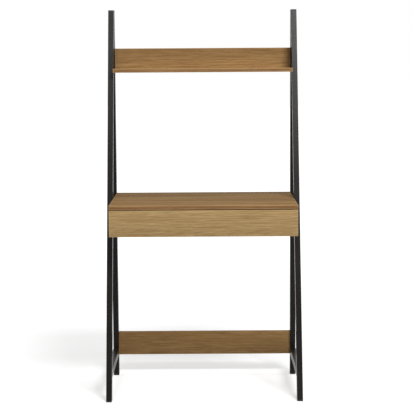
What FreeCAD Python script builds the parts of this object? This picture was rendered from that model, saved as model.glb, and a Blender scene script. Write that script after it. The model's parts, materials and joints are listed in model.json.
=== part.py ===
import FreeCAD, Part
import os
import re
import Sketcher

# Driving sizes in millimetres, kept in the document's sheet under these aliases
SIZES = {
    # Whole desk
    "overall_width": 754,
    "overall_depth": 484,
    "overall_height": 1500,
    "overrun": 1,
    # Steel side frames
    "tube_width": 22,
    "tube_depth": 30,
    "tube_wall": 1.5,
    "tube_round": 1.2,
    "leg_run": 31,
    "leg_setback": 29,
    "weld_height": 30,
    "rail_bottom": 85,
    "foot_height": 6,
    "cap_height": 5,
    "stopper_length": 14,
    "stopper_play": 0.2,
    # Boards
    "board": 15,
    "edge_round": 1,
    "desktop_height": 760,
    "shelf_drop": 233,
    "shelf_depth": 150,
    "back_board_height": 96,
    "stretcher_height": 96,
    "case_height": 95,
    "case_front_gap": 2,
    # Drawer
    "drawer_front_height": 100,
    "drawer_front_gap": 3,
    "drawer_board": 12,
    "drawer_side_lift": 16,
    "drawer_top_room": 14,
    "drawer_rear_room": 54,
    "bottom_panel": 3,
    "groove_lift": 13,
    "groove_depth": 6,
    "groove_play": 0.2,
    # Roller runners
    "runner_gap": 12.5,
    "runner_sheet": 1.2,
    "runner_flange": 9.7,
    "runner_inset": 3,
    "channel_lift": 14,
    "channel_play": 1.6,
    "track_gap": 2.2,
    "roller_diameter": 17,
    "roller_width": 5.4,
    "roller_chamfer": 0.6,
    "roller_inset": 10,
    "axle_diameter": 4,
    "axle_shoulder": 6.5,
    "axle_head": 7,
    "axle_head_height": 0.7,
    "bore_play": 0.1,
    "side_play": 0.25,
    "running_gap": 0.3,
    # Frame bolts, inserts, barrel nuts and hole plugs
    "bolt_diameter": 6,
    "bolt_head": 10,
    "bolt_head_height": 6,
    "bolt_socket": 5,
    "bolt_socket_depth": 3,
    "hole_play": 0.3,
    "long_bolt_reach": 32,
    "short_bolt_reach": 11,
    "insert_diameter": 9,
    "insert_length": 12,
    "barrel_diameter": 10,
    "barrel_length": 12,
    "barrel_inset": 22,
    "end_bolt_inset": 24,
    "case_bolt_spread": 45,
    "rear_bolt_inset": 10,
    "hole_plug_diameter": 10.8,
    "hole_plug_length": 4,
    "hole_plug_skin": 1,
    # Cam fittings
    "cam_diameter": 15,
    "cam_floor": 3,
    "cam_inset": 24,
    "drawer_cam_diameter": 12,
    "drawer_cam_floor": 2,
    "cam_recess_width": 1.4,
    "cam_recess_depth": 2,
    "cam_bolt_thread": 6,
    "cam_bolt_thread_length": 10,
    "cam_bolt_neck": 4,
    "cam_bolt_head": 6,
    "cam_bolt_head_height": 3,
    "drawer_cam_edge": 14,
    # Screws
    "screw_diameter": 4,
    "screw_head": 8,
    "screw_head_height": 2.4,
    "screw_recess_width": 1.1,
    "screw_recess_span": 4,
    "screw_recess_depth": 1.5,
    "screw_length": 42,
    "drawer_screw_length": 36,
    "runner_screw_diameter": 3.5,
    "runner_screw_head": 7,
    "runner_screw_head_height": 1,
    "runner_screw_length": 12,
    "runner_screw_recess_depth": 0.6,
    "runner_screw_point": 3,
    "case_screw_spread": 25,
    "drawer_screw_spread": 17,
    "drawer_screw_edge": 8,
}

# Places of fasteners as shares of the piece that they run along
CASE_CAM_SHARES = (0.08, 0.62, 0.9)
RUNNER_SCREW_SHARES = (0.1, 0.7, 0.92)
DRAWER_RUNNER_SCREW_SHARES = (0.12, 0.5, 0.86)
BACK_BOARD_SCREW_SHARES = (-0.8, -0.27, 0.27, 0.8)

# Levels and planes of the desk, worked out from the sizes
INNER = "(overall_width / 2 - tube_width)"
FRONT = "(-overall_depth / 2)"
REAR = "(overall_depth / 2)"
LEG_TOP = "(overall_height - cap_height)"
LEAN = "((overall_depth - leg_setback - leg_run - tube_depth) / (overall_height - weld_height))"
DESKTOP_BOTTOM = "(desktop_height - board)"
CASE_BOTTOM = f"({DESKTOP_BOTTOM} - case_height)"
CASE_MIDDLE = f"({DESKTOP_BOTTOM} - case_height / 2)"
CASE_INNER = f"({INNER} - board)"
CASE_FRONT = f"({FRONT} + board + case_front_gap)"
CASE_DEPTH = f"({REAR} - {CASE_FRONT})"
SHELF_TOP = "(overall_height - shelf_drop)"
SHELF_BOTTOM = f"({SHELF_TOP} - board)"
REAR_BOARD_FRONT = f"({REAR} - board)"
SHELF_FRONT = f"({REAR_BOARD_FRONT} - shelf_depth)"
BOARD_MIDDLE = f"({REAR} - board / 2)"
DRAWER_FRONT_TOP = f"({DESKTOP_BOTTOM} - drawer_front_gap)"
DRAWER_FRONT_BOTTOM = f"({DRAWER_FRONT_TOP} - drawer_front_height)"
DRAWER_FRONT_BACK = f"({FRONT} + board)"
DRAWER_OUTER = f"({CASE_INNER} - runner_gap)"
DRAWER_INNER = f"({DRAWER_OUTER} - drawer_board)"
DRAWER_BOTTOM = f"({DRAWER_FRONT_BOTTOM} + drawer_side_lift)"
DRAWER_TOP = f"({DRAWER_FRONT_TOP} - drawer_top_room)"
DRAWER_REAR = f"({REAR_BOARD_FRONT} - drawer_rear_room)"
GROOVE_BOTTOM = f"({DRAWER_BOTTOM} + groove_lift)"
GROOVE_TOP = f"({GROOVE_BOTTOM} + bottom_panel + groove_play)"
CHANNEL_FLOOR = f"({DRAWER_BOTTOM} + channel_lift + runner_sheet)"
CHANNEL_ROOF = f"({CHANNEL_FLOOR} + roller_diameter + channel_play)"
TRACK_BOTTOM = f"({CHANNEL_ROOF} + runner_sheet + track_gap)"
TRACK_TOP = f"({TRACK_BOTTOM} + runner_sheet)"
RUNNER_LENGTH = f"({DRAWER_REAR} - {DRAWER_FRONT_BACK})"
RUNNER_FRONT = f"({CASE_FRONT} + runner_inset)"
DRAWER_RUNNER_FRONT = f"({DRAWER_FRONT_BACK} + case_front_gap)"
ROLLER_PLANE = f"({CASE_INNER} - runner_gap / 2)"
BOLT_BORE = "bolt_diameter + 2 * hole_play"
NECK_BORE = "cam_bolt_head + 2 * hole_play"
THREAD_BORE = "cam_bolt_thread + 2 * hole_play"
THREAD_DEPTH = "cam_bolt_thread_length + hole_play"
CAM_THICKNESS = "(board - cam_floor)"
DRAWER_CAM_THICKNESS = "(drawer_board - drawer_cam_floor)"
FRONT_ROLLER = (f"({RUNNER_FRONT} + roller_inset)", f"({TRACK_BOTTOM} - running_gap - roller_diameter / 2)")
REAR_ROLLER = (
    f"({DRAWER_RUNNER_FRONT} + {RUNNER_LENGTH} - roller_inset)",
    f"({CHANNEL_FLOOR} + running_gap + roller_diameter / 2)",
)

SIDES = {"left": -1, "right": 1}
AIMS = {
    "+x": (1, 0, 0),
    "-x": (-1, 0, 0),
    "+y": (0, 1, 0),
    "-y": (0, -1, 0),
    "+z": (0, 0, 1),
    "-z": (0, 0, -1),
}
OPPOSITE = {"+": "-", "-": "+"}

doc = FreeCAD.newDocument("LadderDesk")
sheet = doc.addObject("Spreadsheet::Sheet", "Sizes")
for row, (alias, size) in enumerate(SIZES.items(), start=1):
    sheet.set(f"A{row}", alias)
    sheet.set(f"B{row}", str(size))
    sheet.setAlias(f"B{row}", alias)
doc.recompute()

nodes = []


# Expressions and places

def bound(text):
    """The same sum with every size read from the sheet."""
    return re.sub("[a-z_]+", lambda word: f"Sizes.{word[0]}" if word[0] in SIZES else word[0], text)


def value(text):
    """What a sum comes to at the sheet's present sizes."""
    return float(sheet.evalExpression(bound(text)))


def put(thing, place):
    """Ties the place of an object to three sums."""
    for axis, text in zip("xyz", place):
        thing.setExpression(f"Placement.Base.{axis}", bound(text))


def turn(thing, aim):
    """Turns an object's own upright axis to an aim."""
    thing.Placement.Rotation = FreeCAD.Rotation(FreeCAD.Vector(*AIMS["+z"]), FreeCAD.Vector(*AIMS[aim]))


def back(aim):
    """The aim that looks the other way."""
    return OPPOSITE[aim[0]] + aim[1]


def shifted(place, aim, distance):
    """A place moved along an aim."""
    moved = list(place)
    axis = "xyz".index(aim[1])
    moved[axis] = f"({place[axis]} {aim[0]} ({distance}))"
    return tuple(moved)


def node(name, thing):
    """Keeps an object as the sub-part of that name."""
    thing.Label = name
    nodes.append(thing)
    return thing


# Blanks, bores and groups

def block(name, x, y, z):
    """A box between two sums along each axis."""
    box = doc.addObject("Part::Box", name)
    for side, (low, high) in zip(("Length", "Width", "Height"), (x, y, z)):
        box.setExpression(side, bound(f"({high}) - ({low})"))
    put(box, (x[0], y[0], z[0]))
    return box


def across(sign, near, far):
    """The span along X between two distances from the desk's middle, on one side of it."""
    return (near, far) if sign > 0 else (f"-({far})", f"-({near})")


def rounded(name, x, y, z):
    """A board with all its edges eased."""
    box = block(f"{name}_blank", x, y, z)
    doc.recompute()
    eased = doc.addObject("Part::Fillet", f"{name}_eased")
    eased.Base = box
    radius = value("edge_round")
    eased.Edges = [(edge, radius, radius) for edge in range(1, len(box.Shape.Edges) + 1)]
    return eased


def rod(name, diameter, length, place, aim):
    """A round bar that starts at a place and runs along an aim."""
    bar = doc.addObject("Part::Cylinder", name)
    bar.setExpression("Radius", bound(f"({diameter}) / 2"))
    bar.setExpression("Height", bound(length))
    turn(bar, aim)
    put(bar, place)
    return bar


def bore(name, diameter, depth, place, aim):
    """A tool for a round hole whose mouth is at a place and faces an aim."""
    return rod(name, diameter, f"({depth}) + overrun", shifted(place, aim, "overrun"), back(aim))


def countersink(name, place, aim):
    """A tool for the cone that a countersunk head sits in."""
    cone = doc.addObject("Part::Cone", name)
    cone.setExpression("Radius1", bound("screw_head / 2 + hole_play"))
    cone.setExpression("Radius2", bound("screw_diameter / 2 + hole_play"))
    cone.setExpression("Height", bound("screw_head_height + hole_play"))
    turn(cone, back(aim))
    put(cone, place)
    return cone


def joined(name, pieces):
    """One solid out of several that meet."""
    whole = doc.addObject("Part::MultiFuse", name)
    whole.Shapes = pieces
    return whole


def cut(name, blank, tools):
    """A blank with its holes, grooves and recesses taken out."""
    result = doc.addObject("Part::Cut", name)
    result.Base = blank
    result.Tool = tools[0] if len(tools) == 1 else joined(f"{name}_tools", tools)
    return result


def group(name, master, places):
    """Copies of one fastener, each at its place and turned to its aim."""
    copies = []
    for count, (place, aim) in enumerate(places):
        copy = doc.addObject("App::Link", f"{name}_copy_{count}")
        copy.LinkedObject = master
        turn(copy, aim)
        put(copy, place)
        copies.append(copy)
    compound = doc.addObject("Part::Compound", name)
    compound.Links = copies
    return node(name, compound)


# Bodies made from sketches

def new_body(name, place):
    body = doc.addObject("PartDesign::Body", name)
    put(body, place)
    return body


def sketch(body, name, role, points):
    """A closed outline of straight lines on one of the body's own planes, each corner tied to its sums."""
    drawing = body.newObject("Sketcher::SketchObject", name)
    plane = next(feature for feature in body.Origin.OriginFeatures if feature.Role == role)
    drawing.AttachmentSupport = [(plane, "")]
    drawing.MapMode = "FlatFace"
    corners = [FreeCAD.Vector(value(across_text), value(up_text), 0) for across_text, up_text in points]
    for start, end in zip(corners, corners[1:] + corners[:1]):
        drawing.addGeometry(Part.LineSegment(start, end))
    for line, texts in enumerate(points):
        # A line's points are numbered 1 at its start and 2 at its end
        following = (line + 1) % len(points)
        drawing.addConstraint(Sketcher.Constraint("Coincident", line, 2, following, 1))
        for kind, text in zip(("DistanceX", "DistanceY"), texts):
            index = drawing.addConstraint(Sketcher.Constraint(kind, line, 1, value(text)))
            drawing.setExpression(f"Constraints[{index}]", bound(text))
    return drawing


def symmetric(body, kind, drawing, length):
    """A pad or pocket that reaches as far to both sides of its sketch."""
    feature = body.newObject(f"PartDesign::{kind}", f"{drawing.Name}_{kind.lower()}")
    feature.Profile = drawing
    feature.SideType = "Symmetric"
    feature.setExpression("Length", bound(length))
    return feature


def eased_tube(body, feature, least):
    """Rounds the tube's long outer edges, which are those over a least length."""
    doc.recompute()
    edges = feature.Shape.Edges
    long_edges = [f"Edge{number}" for number, edge in enumerate(edges, start=1) if edge.Length > value(least)]
    fillet = body.newObject("PartDesign::Fillet", f"{feature.Name}_eased")
    fillet.Base = (feature, long_edges)
    fillet.setExpression("Radius", bound("tube_round"))
    return fillet


# Side frames

def leg_front(height):
    """How far back the front leg's front face is at a height."""
    return f"({FRONT} + leg_setback + {LEAN} * ({height}))"


def leg_rear(height):
    return f"({leg_front(height)} + leg_run)"


def leg_middle(height):
    return f"({leg_front(height)} + leg_run / 2)"


def slanted(low, high, inset):
    """The front leg's outline between two heights, drawn in from its front and rear faces."""
    return [
        (f"{leg_front(low)} + {inset}", low),
        (f"{leg_rear(low)} - ({inset})", low),
        (f"{leg_rear(high)} - ({inset})", high),
        (f"{leg_front(high)} + {inset}", high),
    ]


def upright(low, high, inset):
    """The rear leg's outline between two heights, drawn in the same way."""
    near = f"{REAR} - tube_depth + {inset}"
    far = f"{REAR} - ({inset})"
    return [(near, low), (far, low), (far, high), (near, high)]


def frame_place(sign):
    return (f"{sign} * ({INNER} + tube_width / 2)", "0", "0")


def tube(name, sign, outline, hollow, least):
    """A rectangular steel tube with open ends."""
    body = new_body(f"{name}_tube", frame_place(sign))
    outer = symmetric(body, "Pad", sketch(body, f"{name}_outline", "YZ_Plane", outline), "tube_width")
    eased_tube(body, outer, least)
    hollow_sketch = sketch(body, f"{name}_hollow", "YZ_Plane", hollow)
    symmetric(body, "Pocket", hollow_sketch, "tube_width - 2 * tube_wall")
    return body


def front_leg(side, sign):
    return tube(
        f"{side}_front_leg",
        sign,
        slanted("foot_height", LEG_TOP, "0"),
        slanted("foot_height - overrun", f"{LEG_TOP} + overrun", "tube_wall"),
        "overall_height / 2",
    )


def rear_leg(side, sign):
    outline = upright("foot_height", LEG_TOP, "0")
    outline[-1:] = [(leg_rear(LEG_TOP), LEG_TOP), (f"{REAR} - tube_depth", "overall_height - weld_height")]
    hollow = upright("foot_height - overrun", f"{LEG_TOP} + overrun", "tube_wall")
    return tube(f"{side}_rear_leg", sign, outline, hollow, "overall_height / 2")


def side_rail(side, sign):
    top = "(rail_bottom + tube_depth)"
    rear = f"{REAR} - tube_depth"
    outline = [
        (leg_rear("rail_bottom"), "rail_bottom"),
        (rear, "rail_bottom"),
        (rear, top),
        (leg_rear(top), top),
    ]
    floor = "rail_bottom + tube_wall"
    roof = f"{top} - tube_wall"
    hollow = [
        (f"{leg_rear(floor)} - overrun", floor),
        (f"{rear} + overrun", floor),
        (f"{rear} + overrun", roof),
        (f"{leg_rear(roof)} - overrun", roof),
    ]
    return tube(f"{side}_side_rail", sign, outline, hollow, "overall_depth / 2")


def stopper(name, sign, flange, stoppers):
    """A plastic end piece: a flange as wide as the tube, with a stopper for each tube end that it closes."""
    body = new_body(name, frame_place(sign))
    symmetric(body, "Pad", sketch(body, f"{name}_flange", "YZ_Plane", flange), "tube_width")
    for count, outline in enumerate(stoppers):
        drawing = sketch(body, f"{name}_stopper_{count}", "YZ_Plane", outline)
        symmetric(body, "Pad", drawing, "tube_width - 2 * tube_wall - 2 * stopper_play")
    return node(name, body)


def end_pieces(side, sign):
    """Both feet and the top cap of one side frame."""
    fit = "(tube_wall + stopper_play)"
    stopper_top = "(foot_height + stopper_length)"
    stopper_bottom = f"({LEG_TOP} - stopper_length)"
    for leg, outline in (("front", slanted), ("rear", upright)):
        foot = outline("0", "foot_height", "0")
        stopper(f"{side}_{leg}_foot", sign, foot, [outline("foot_height", stopper_top, fit)])
    cap = slanted(LEG_TOP, "overall_height", "0")
    cap[1:3] = [(REAR, LEG_TOP), (REAR, "overall_height")]
    rear_stopper = upright(stopper_bottom, LEG_TOP, fit)
    near = f"{leg_rear(LEG_TOP)} + {fit}"
    rear_stopper[0] = (near, stopper_bottom)
    rear_stopper[-1] = (near, LEG_TOP)
    stopper(f"{side}_top_cap", sign, cap, [slanted(stopper_bottom, LEG_TOP, fit), rear_stopper])


# Where the frame's bolts go: sums for how far back and how high, on both sides alike

CASE_LEVELS = tuple(f"({CASE_MIDDLE} {way} case_bolt_spread / 2)" for way in "+-")
REAR_BOLT = f"({REAR} - tube_depth + rear_bolt_inset)"
SHELF_MIDDLE = f"({SHELF_BOTTOM} + board / 2)"
BACK_BOARD_LEVELS = (
    f"({SHELF_BOTTOM} + end_bolt_inset)",
    f"({SHELF_BOTTOM} + back_board_height - end_bolt_inset)",
)
STRETCHER_LEVELS = ("(rail_bottom + end_bolt_inset)", "(rail_bottom + stretcher_height - end_bolt_inset)")
FRONT_CASE_BOLTS = [(leg_middle(level), level) for level in CASE_LEVELS]
REAR_CASE_BOLTS = [(REAR_BOLT, level) for level in CASE_LEVELS]
SHELF_BOLTS = [(leg_middle(SHELF_MIDDLE), SHELF_MIDDLE)]
BACK_BOARD_BOLTS = [(BOARD_MIDDLE, level) for level in BACK_BOARD_LEVELS]
STRETCHER_BOLTS = [(BOARD_MIDDLE, level) for level in STRETCHER_LEVELS]
SHORT_BOLTS = FRONT_CASE_BOLTS + REAR_CASE_BOLTS
LONG_BOLTS = SHELF_BOLTS + BACK_BOARD_BOLTS + STRETCHER_BOLTS


def outward(sign):
    return "+x" if sign > 0 else "-x"


def inward(sign):
    return back(outward(sign))


def leg_places(sign, distance, bolts):
    """Places at one distance from the desk's middle, aimed outwards."""
    return [((f"{sign} * ({distance})", depth, height), outward(sign)) for depth, height in bolts]


def both_sides(distance, bolts):
    return [place for sign in SIDES.values() for place in leg_places(sign, distance, bolts)]


def drilled_leg(name, sign, blank, bolts):
    """A leg with a bolt hole in its inner wall and an access hole in its outer wall for each bolt."""
    tools = []
    for count, (place, aim) in enumerate(leg_places(sign, f"{INNER} + tube_wall", bolts)):
        tools.append(bore(f"{name}_hole_{count}", BOLT_BORE, "tube_wall + overrun", place, aim))
    access = "hole_plug_diameter + stopper_play"
    for count, (place, aim) in enumerate(leg_places(sign, f"{INNER} + tube_width", bolts)):
        tools.append(bore(f"{name}_access_{count}", access, "2 * tube_wall", place, aim))
    node(name, cut(f"{name}_drilled", blank, tools))


def side_frames():
    for side, sign in SIDES.items():
        front_bolts = FRONT_CASE_BOLTS + SHELF_BOLTS
        rear_bolts = REAR_CASE_BOLTS + BACK_BOARD_BOLTS + STRETCHER_BOLTS
        drilled_leg(f"{side}_front_leg", sign, front_leg(side, sign), front_bolts)
        drilled_leg(f"{side}_rear_leg", sign, rear_leg(side, sign), rear_bolts)
        node(f"{side}_side_rail", side_rail(side, sign))
        end_pieces(side, sign)


# Boards between the frames

def end_bolt_tools(name, bolts, nut_aim):
    """Bolt holes in a board's two ends, each with the cross hole that its barrel nut goes into."""
    tools = []
    for count, (place, aim) in enumerate(both_sides(INNER, bolts)):
        tools.append(bore(f"{name}_bolt_{count}", BOLT_BORE, "long_bolt_reach + overrun", place, aim))
        mouth = shifted(shifted(place, back(aim), "barrel_inset"), nut_aim, "board / 2")
        depth = "board / 2 + barrel_length / 2 + hole_play"
        tools.append(bore(f"{name}_nut_{count}", "barrel_diameter + 2 * hole_play", depth, mouth, nut_aim))
    return tools


def back_board_screw_places():
    return [((f"{share} * {INNER}", REAR, SHELF_MIDDLE), "+y") for share in BACK_BOARD_SCREW_SHARES]


def case_cam_places(sign):
    """Middles of the cam fittings under the worktop, at the top edge of a case side."""
    middle = f"{sign} * ({CASE_INNER} + board / 2)"
    depths = [f"{CASE_FRONT} + {share} * {CASE_DEPTH}" for share in CASE_CAM_SHARES]
    return [((middle, depth, DESKTOP_BOTTOM), "-z") for depth in depths]


def case_screw_places(sign):
    levels = [f"{CASE_MIDDLE} {way} case_screw_spread / 2" for way in "+-"]
    return leg_places(sign, INNER, [(BOARD_MIDDLE, level) for level in levels])


def runner_screw_places(sign):
    middle = f"({CHANNEL_FLOOR} + {CHANNEL_ROOF}) / 2"
    depths = [f"{RUNNER_FRONT} + {share} * {RUNNER_LENGTH}" for share in RUNNER_SCREW_SHARES]
    distance = f"{CASE_INNER} - runner_sheet"
    return [((f"{sign} * ({distance})", depth, middle), inward(sign)) for depth in depths]


def screw_bores(name, places, length, diameter, head_room):
    """Holes for screws, sunk for their heads where there is head room."""
    tools = []
    for count, (place, aim) in enumerate(places):
        wide = f"{diameter} + 2 * hole_play"
        tools.append(bore(f"{name}_{count}", wide, f"{length} + overrun", place, aim))
        if head_room:
            tools.append(countersink(f"{name}_sink_{count}", place, aim))
    return tools


def shelf_boards():
    span = (f"-{INNER}", INNER)
    shelf = rounded("upper_shelf", span, (SHELF_FRONT, REAR_BOARD_FRONT), (SHELF_BOTTOM, SHELF_TOP))
    screws = back_board_screw_places()
    tools = end_bolt_tools("upper_shelf", SHELF_BOLTS, "-z")
    tools += screw_bores("upper_shelf_screw", screws, "screw_length", "screw_diameter", False)
    node("upper_shelf", cut("upper_shelf_drilled", shelf, tools))

    top = f"{SHELF_BOTTOM} + back_board_height"
    upstand = rounded("shelf_back_board", span, (REAR_BOARD_FRONT, REAR), (SHELF_BOTTOM, top))
    tools = end_bolt_tools("shelf_back_board", BACK_BOARD_BOLTS, "+y")
    tools += screw_bores("shelf_back_board_screw", screws, "screw_length", "screw_diameter", True)
    node("shelf_back_board", cut("shelf_back_board_drilled", upstand, tools))


def stretcher():
    top = "rail_bottom + stretcher_height"
    blank = rounded("rear_stretcher", (f"-{INNER}", INNER), (REAR_BOARD_FRONT, REAR), ("rail_bottom", top))
    tools = end_bolt_tools("rear_stretcher", STRETCHER_BOLTS, "+y")
    node("rear_stretcher", cut("rear_stretcher_drilled", blank, tools))


def desktop():
    blank = rounded("desktop", (f"-{INNER}", INNER), (FRONT, REAR), (DESKTOP_BOTTOM, "desktop_height"))
    tools = []
    for side, sign in SIDES.items():
        for count, (place, aim) in enumerate(case_cam_places(sign)):
            tools.append(bore(f"desktop_{side}_{count}", THREAD_BORE, THREAD_DEPTH, place, aim))
    node("desktop", cut("desktop_drilled", blank, tools))


def case_side(side, sign):
    name = f"{side}_case_side"
    blank = rounded(name, across(sign, CASE_INNER, INNER), (CASE_FRONT, REAR), (CASE_BOTTOM, DESKTOP_BOTTOM))
    tools = []
    for count, (place, aim) in enumerate(leg_places(sign, INNER, SHORT_BOLTS)):
        depth = "insert_length + hole_play"
        tools.append(bore(f"{name}_insert_{count}", "insert_diameter + 2 * hole_play", depth, place, aim))
    for count, (place, aim) in enumerate(case_cam_places(sign)):
        tools.append(bore(f"{name}_neck_{count}", NECK_BORE, "cam_inset", place, back(aim)))
        mouth = shifted(shifted(place, aim, "cam_inset"), inward(sign), "board / 2")
        depth = f"{CAM_THICKNESS} + hole_play"
        tools.append(bore(f"{name}_cam_{count}", "cam_diameter + 2 * hole_play", depth, mouth, inward(sign)))
    tools += screw_bores(f"{name}_back", case_screw_places(sign), "screw_length", "screw_diameter", True)
    runner = runner_screw_places(sign)
    tools += screw_bores(f"{name}_runner", runner, "runner_screw_length", "runner_screw_diameter", False)
    node(name, cut(f"{name}_drilled", blank, tools))


def case_back():
    span = (f"-{CASE_INNER}", CASE_INNER)
    blank = rounded("case_back", span, (REAR_BOARD_FRONT, REAR), (CASE_BOTTOM, DESKTOP_BOTTOM))
    tools = []
    for side, sign in SIDES.items():
        screws = case_screw_places(sign)
        tools += screw_bores(f"case_back_{side}", screws, "screw_length", "screw_diameter", False)
    node("case_back", cut("case_back_drilled", blank, tools))


def boards():
    shelf_boards()
    stretcher()
    desktop()
    for side, sign in SIDES.items():
        case_side(side, sign)
    case_back()


# Drawer box

def drawer_cam_places(sign):
    """Where the drawer front's cam bolts start, at the front end of a drawer side."""
    middle = f"{sign} * ({DRAWER_INNER} + drawer_board / 2)"
    levels = (f"{GROOVE_TOP} + drawer_cam_edge", f"{DRAWER_TOP} - drawer_cam_edge")
    return [((middle, DRAWER_FRONT_BACK, level), "+y") for level in levels]


def drawer_screw_places(sign):
    levels = (f"{DRAWER_TOP} - drawer_screw_edge", f"{DRAWER_TOP} - drawer_screw_edge - drawer_screw_spread")
    return leg_places(sign, DRAWER_OUTER, [(f"{DRAWER_REAR} - drawer_board / 2", level) for level in levels])


def drawer_runner_screw_places(sign):
    middle = f"{sign} * ({DRAWER_INNER} + drawer_board / 2)"
    level = f"{DRAWER_BOTTOM} - runner_sheet"
    depths = [f"{DRAWER_RUNNER_FRONT} + {share} * {RUNNER_LENGTH}" for share in DRAWER_RUNNER_SCREW_SHARES]
    return [((middle, depth, level), "-z") for depth in depths]


def groove(name, x, y):
    return block(name, x, y, (GROOVE_BOTTOM, GROOVE_TOP))


def drawer_front():
    levels = (DRAWER_FRONT_BOTTOM, DRAWER_FRONT_TOP)
    blank = rounded("drawer_front", (f"-{INNER}", INNER), (FRONT, DRAWER_FRONT_BACK), levels)
    span = (f"-({DRAWER_INNER} + groove_depth)", f"{DRAWER_INNER} + groove_depth")
    groove_span = (f"{DRAWER_FRONT_BACK} - groove_depth", f"{DRAWER_FRONT_BACK} + overrun")
    tools = [groove("drawer_front_groove", span, groove_span)]
    for side, sign in SIDES.items():
        for count, (place, aim) in enumerate(drawer_cam_places(sign)):
            tools.append(bore(f"drawer_front_{side}_{count}", THREAD_BORE, THREAD_DEPTH, place, aim))
    node("drawer_front", cut("drawer_front_drilled", blank, tools))


def drawer_side(side, sign):
    name = f"drawer_{side}_side"
    depth_span = (DRAWER_FRONT_BACK, DRAWER_REAR)
    blank = rounded(name, across(sign, DRAWER_INNER, DRAWER_OUTER), depth_span, (DRAWER_BOTTOM, DRAWER_TOP))
    groove_span = across(sign, f"{DRAWER_INNER} - overrun", f"{DRAWER_INNER} + groove_depth")
    run = (f"{DRAWER_FRONT_BACK} - overrun", f"{DRAWER_REAR} + overrun")
    tools = [groove(f"{name}_groove", groove_span, run)]
    for count, (place, aim) in enumerate(drawer_cam_places(sign)):
        tools.append(bore(f"{name}_neck_{count}", NECK_BORE, "cam_inset", place, back(aim)))
        mouth = shifted(shifted(place, aim, "cam_inset"), inward(sign), "drawer_board / 2")
        wide = "drawer_cam_diameter + 2 * hole_play"
        depth = f"{DRAWER_CAM_THICKNESS} + hole_play"
        tools.append(bore(f"{name}_cam_{count}", wide, depth, mouth, inward(sign)))
    backs = drawer_screw_places(sign)
    tools += screw_bores(f"{name}_back", backs, "drawer_screw_length", "screw_diameter", True)
    runner = drawer_runner_screw_places(sign)
    tools += screw_bores(f"{name}_runner", runner, "runner_screw_length", "runner_screw_diameter", False)
    node(name, cut(f"{name}_drilled", blank, tools))


def drawer_box():
    drawer_front()
    for side, sign in SIDES.items():
        drawer_side(side, sign)
    span = (f"-{DRAWER_INNER}", DRAWER_INNER)
    rear_span = (f"{DRAWER_REAR} - drawer_board", DRAWER_REAR)
    blank = rounded("drawer_back", span, rear_span, (GROOVE_TOP, DRAWER_TOP))
    tools = []
    for side, sign in SIDES.items():
        backs = drawer_screw_places(sign)
        tools += screw_bores(f"drawer_back_{side}", backs, "drawer_screw_length", "screw_diameter", False)
    node("drawer_back", cut("drawer_back_drilled", blank, tools))
    reach = f"{DRAWER_INNER} + groove_depth - groove_play"
    front = f"{DRAWER_FRONT_BACK} - groove_depth + groove_play"
    levels = (GROOVE_BOTTOM, f"{GROOVE_BOTTOM} + bottom_panel")
    node("drawer_bottom", block("drawer_bottom_panel", (f"-({reach})", reach), (front, DRAWER_REAR), levels))


# Roller runners

def runner_body(name, sign, profile, front):
    """A length of folded sheet, drawn end on."""
    body = new_body(f"{name}_sheet", ("0", f"{front} + {RUNNER_LENGTH} / 2", "0"))
    points = [(f"{sign} * ({distance})", height) for distance, height in profile]
    symmetric(body, "Pad", sketch(body, f"{name}_profile", "XZ_Plane", points), RUNNER_LENGTH)
    return body


def case_runner(side, sign):
    name = f"{side}_case_runner"
    web = f"{CASE_INNER} - runner_sheet"
    lip = f"{CASE_INNER} - runner_flange"
    profile = [
        (CASE_INNER, f"{CHANNEL_FLOOR} - runner_sheet"),
        (CASE_INNER, f"{CHANNEL_ROOF} + runner_sheet"),
        (lip, f"{CHANNEL_ROOF} + runner_sheet"),
        (lip, CHANNEL_ROOF),
        (web, CHANNEL_ROOF),
        (web, CHANNEL_FLOOR),
        (lip, CHANNEL_FLOOR),
        (lip, f"{CHANNEL_FLOOR} - runner_sheet"),
    ]
    body = runner_body(name, sign, profile, RUNNER_FRONT)
    open_end = f"{RUNNER_FRONT} + 2 * roller_inset + roller_diameter / 4"
    notch_span = across(sign, f"{lip} - overrun", f"{CASE_INNER} + overrun")
    levels = (CHANNEL_ROOF, f"{CHANNEL_ROOF} + runner_sheet + overrun")
    tools = [block(f"{name}_notch", notch_span, (f"{RUNNER_FRONT} - overrun", open_end), levels)]
    runner = runner_screw_places(sign)
    tools += screw_bores(f"{name}_screw", runner, "runner_sheet", "runner_screw_diameter", False)
    node(name, cut(f"{name}_punched", body, tools))


def drawer_runner(side, sign):
    name = f"{side}_drawer_runner"
    web = f"{DRAWER_OUTER} + runner_sheet"
    track = f"{DRAWER_OUTER} + runner_flange"
    profile = [
        (DRAWER_INNER, f"{DRAWER_BOTTOM} - runner_sheet"),
        (web, f"{DRAWER_BOTTOM} - runner_sheet"),
        (web, TRACK_BOTTOM),
        (track, TRACK_BOTTOM),
        (track, TRACK_TOP),
        (DRAWER_OUTER, TRACK_TOP),
        (DRAWER_OUTER, DRAWER_BOTTOM),
        (DRAWER_INNER, DRAWER_BOTTOM),
    ]
    body = runner_body(name, sign, profile, DRAWER_RUNNER_FRONT)
    runner = drawer_runner_screw_places(sign)
    tools = screw_bores(f"{name}_screw", runner, "runner_sheet", "runner_screw_diameter", False)
    node(name, cut(f"{name}_punched", body, tools))


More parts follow.
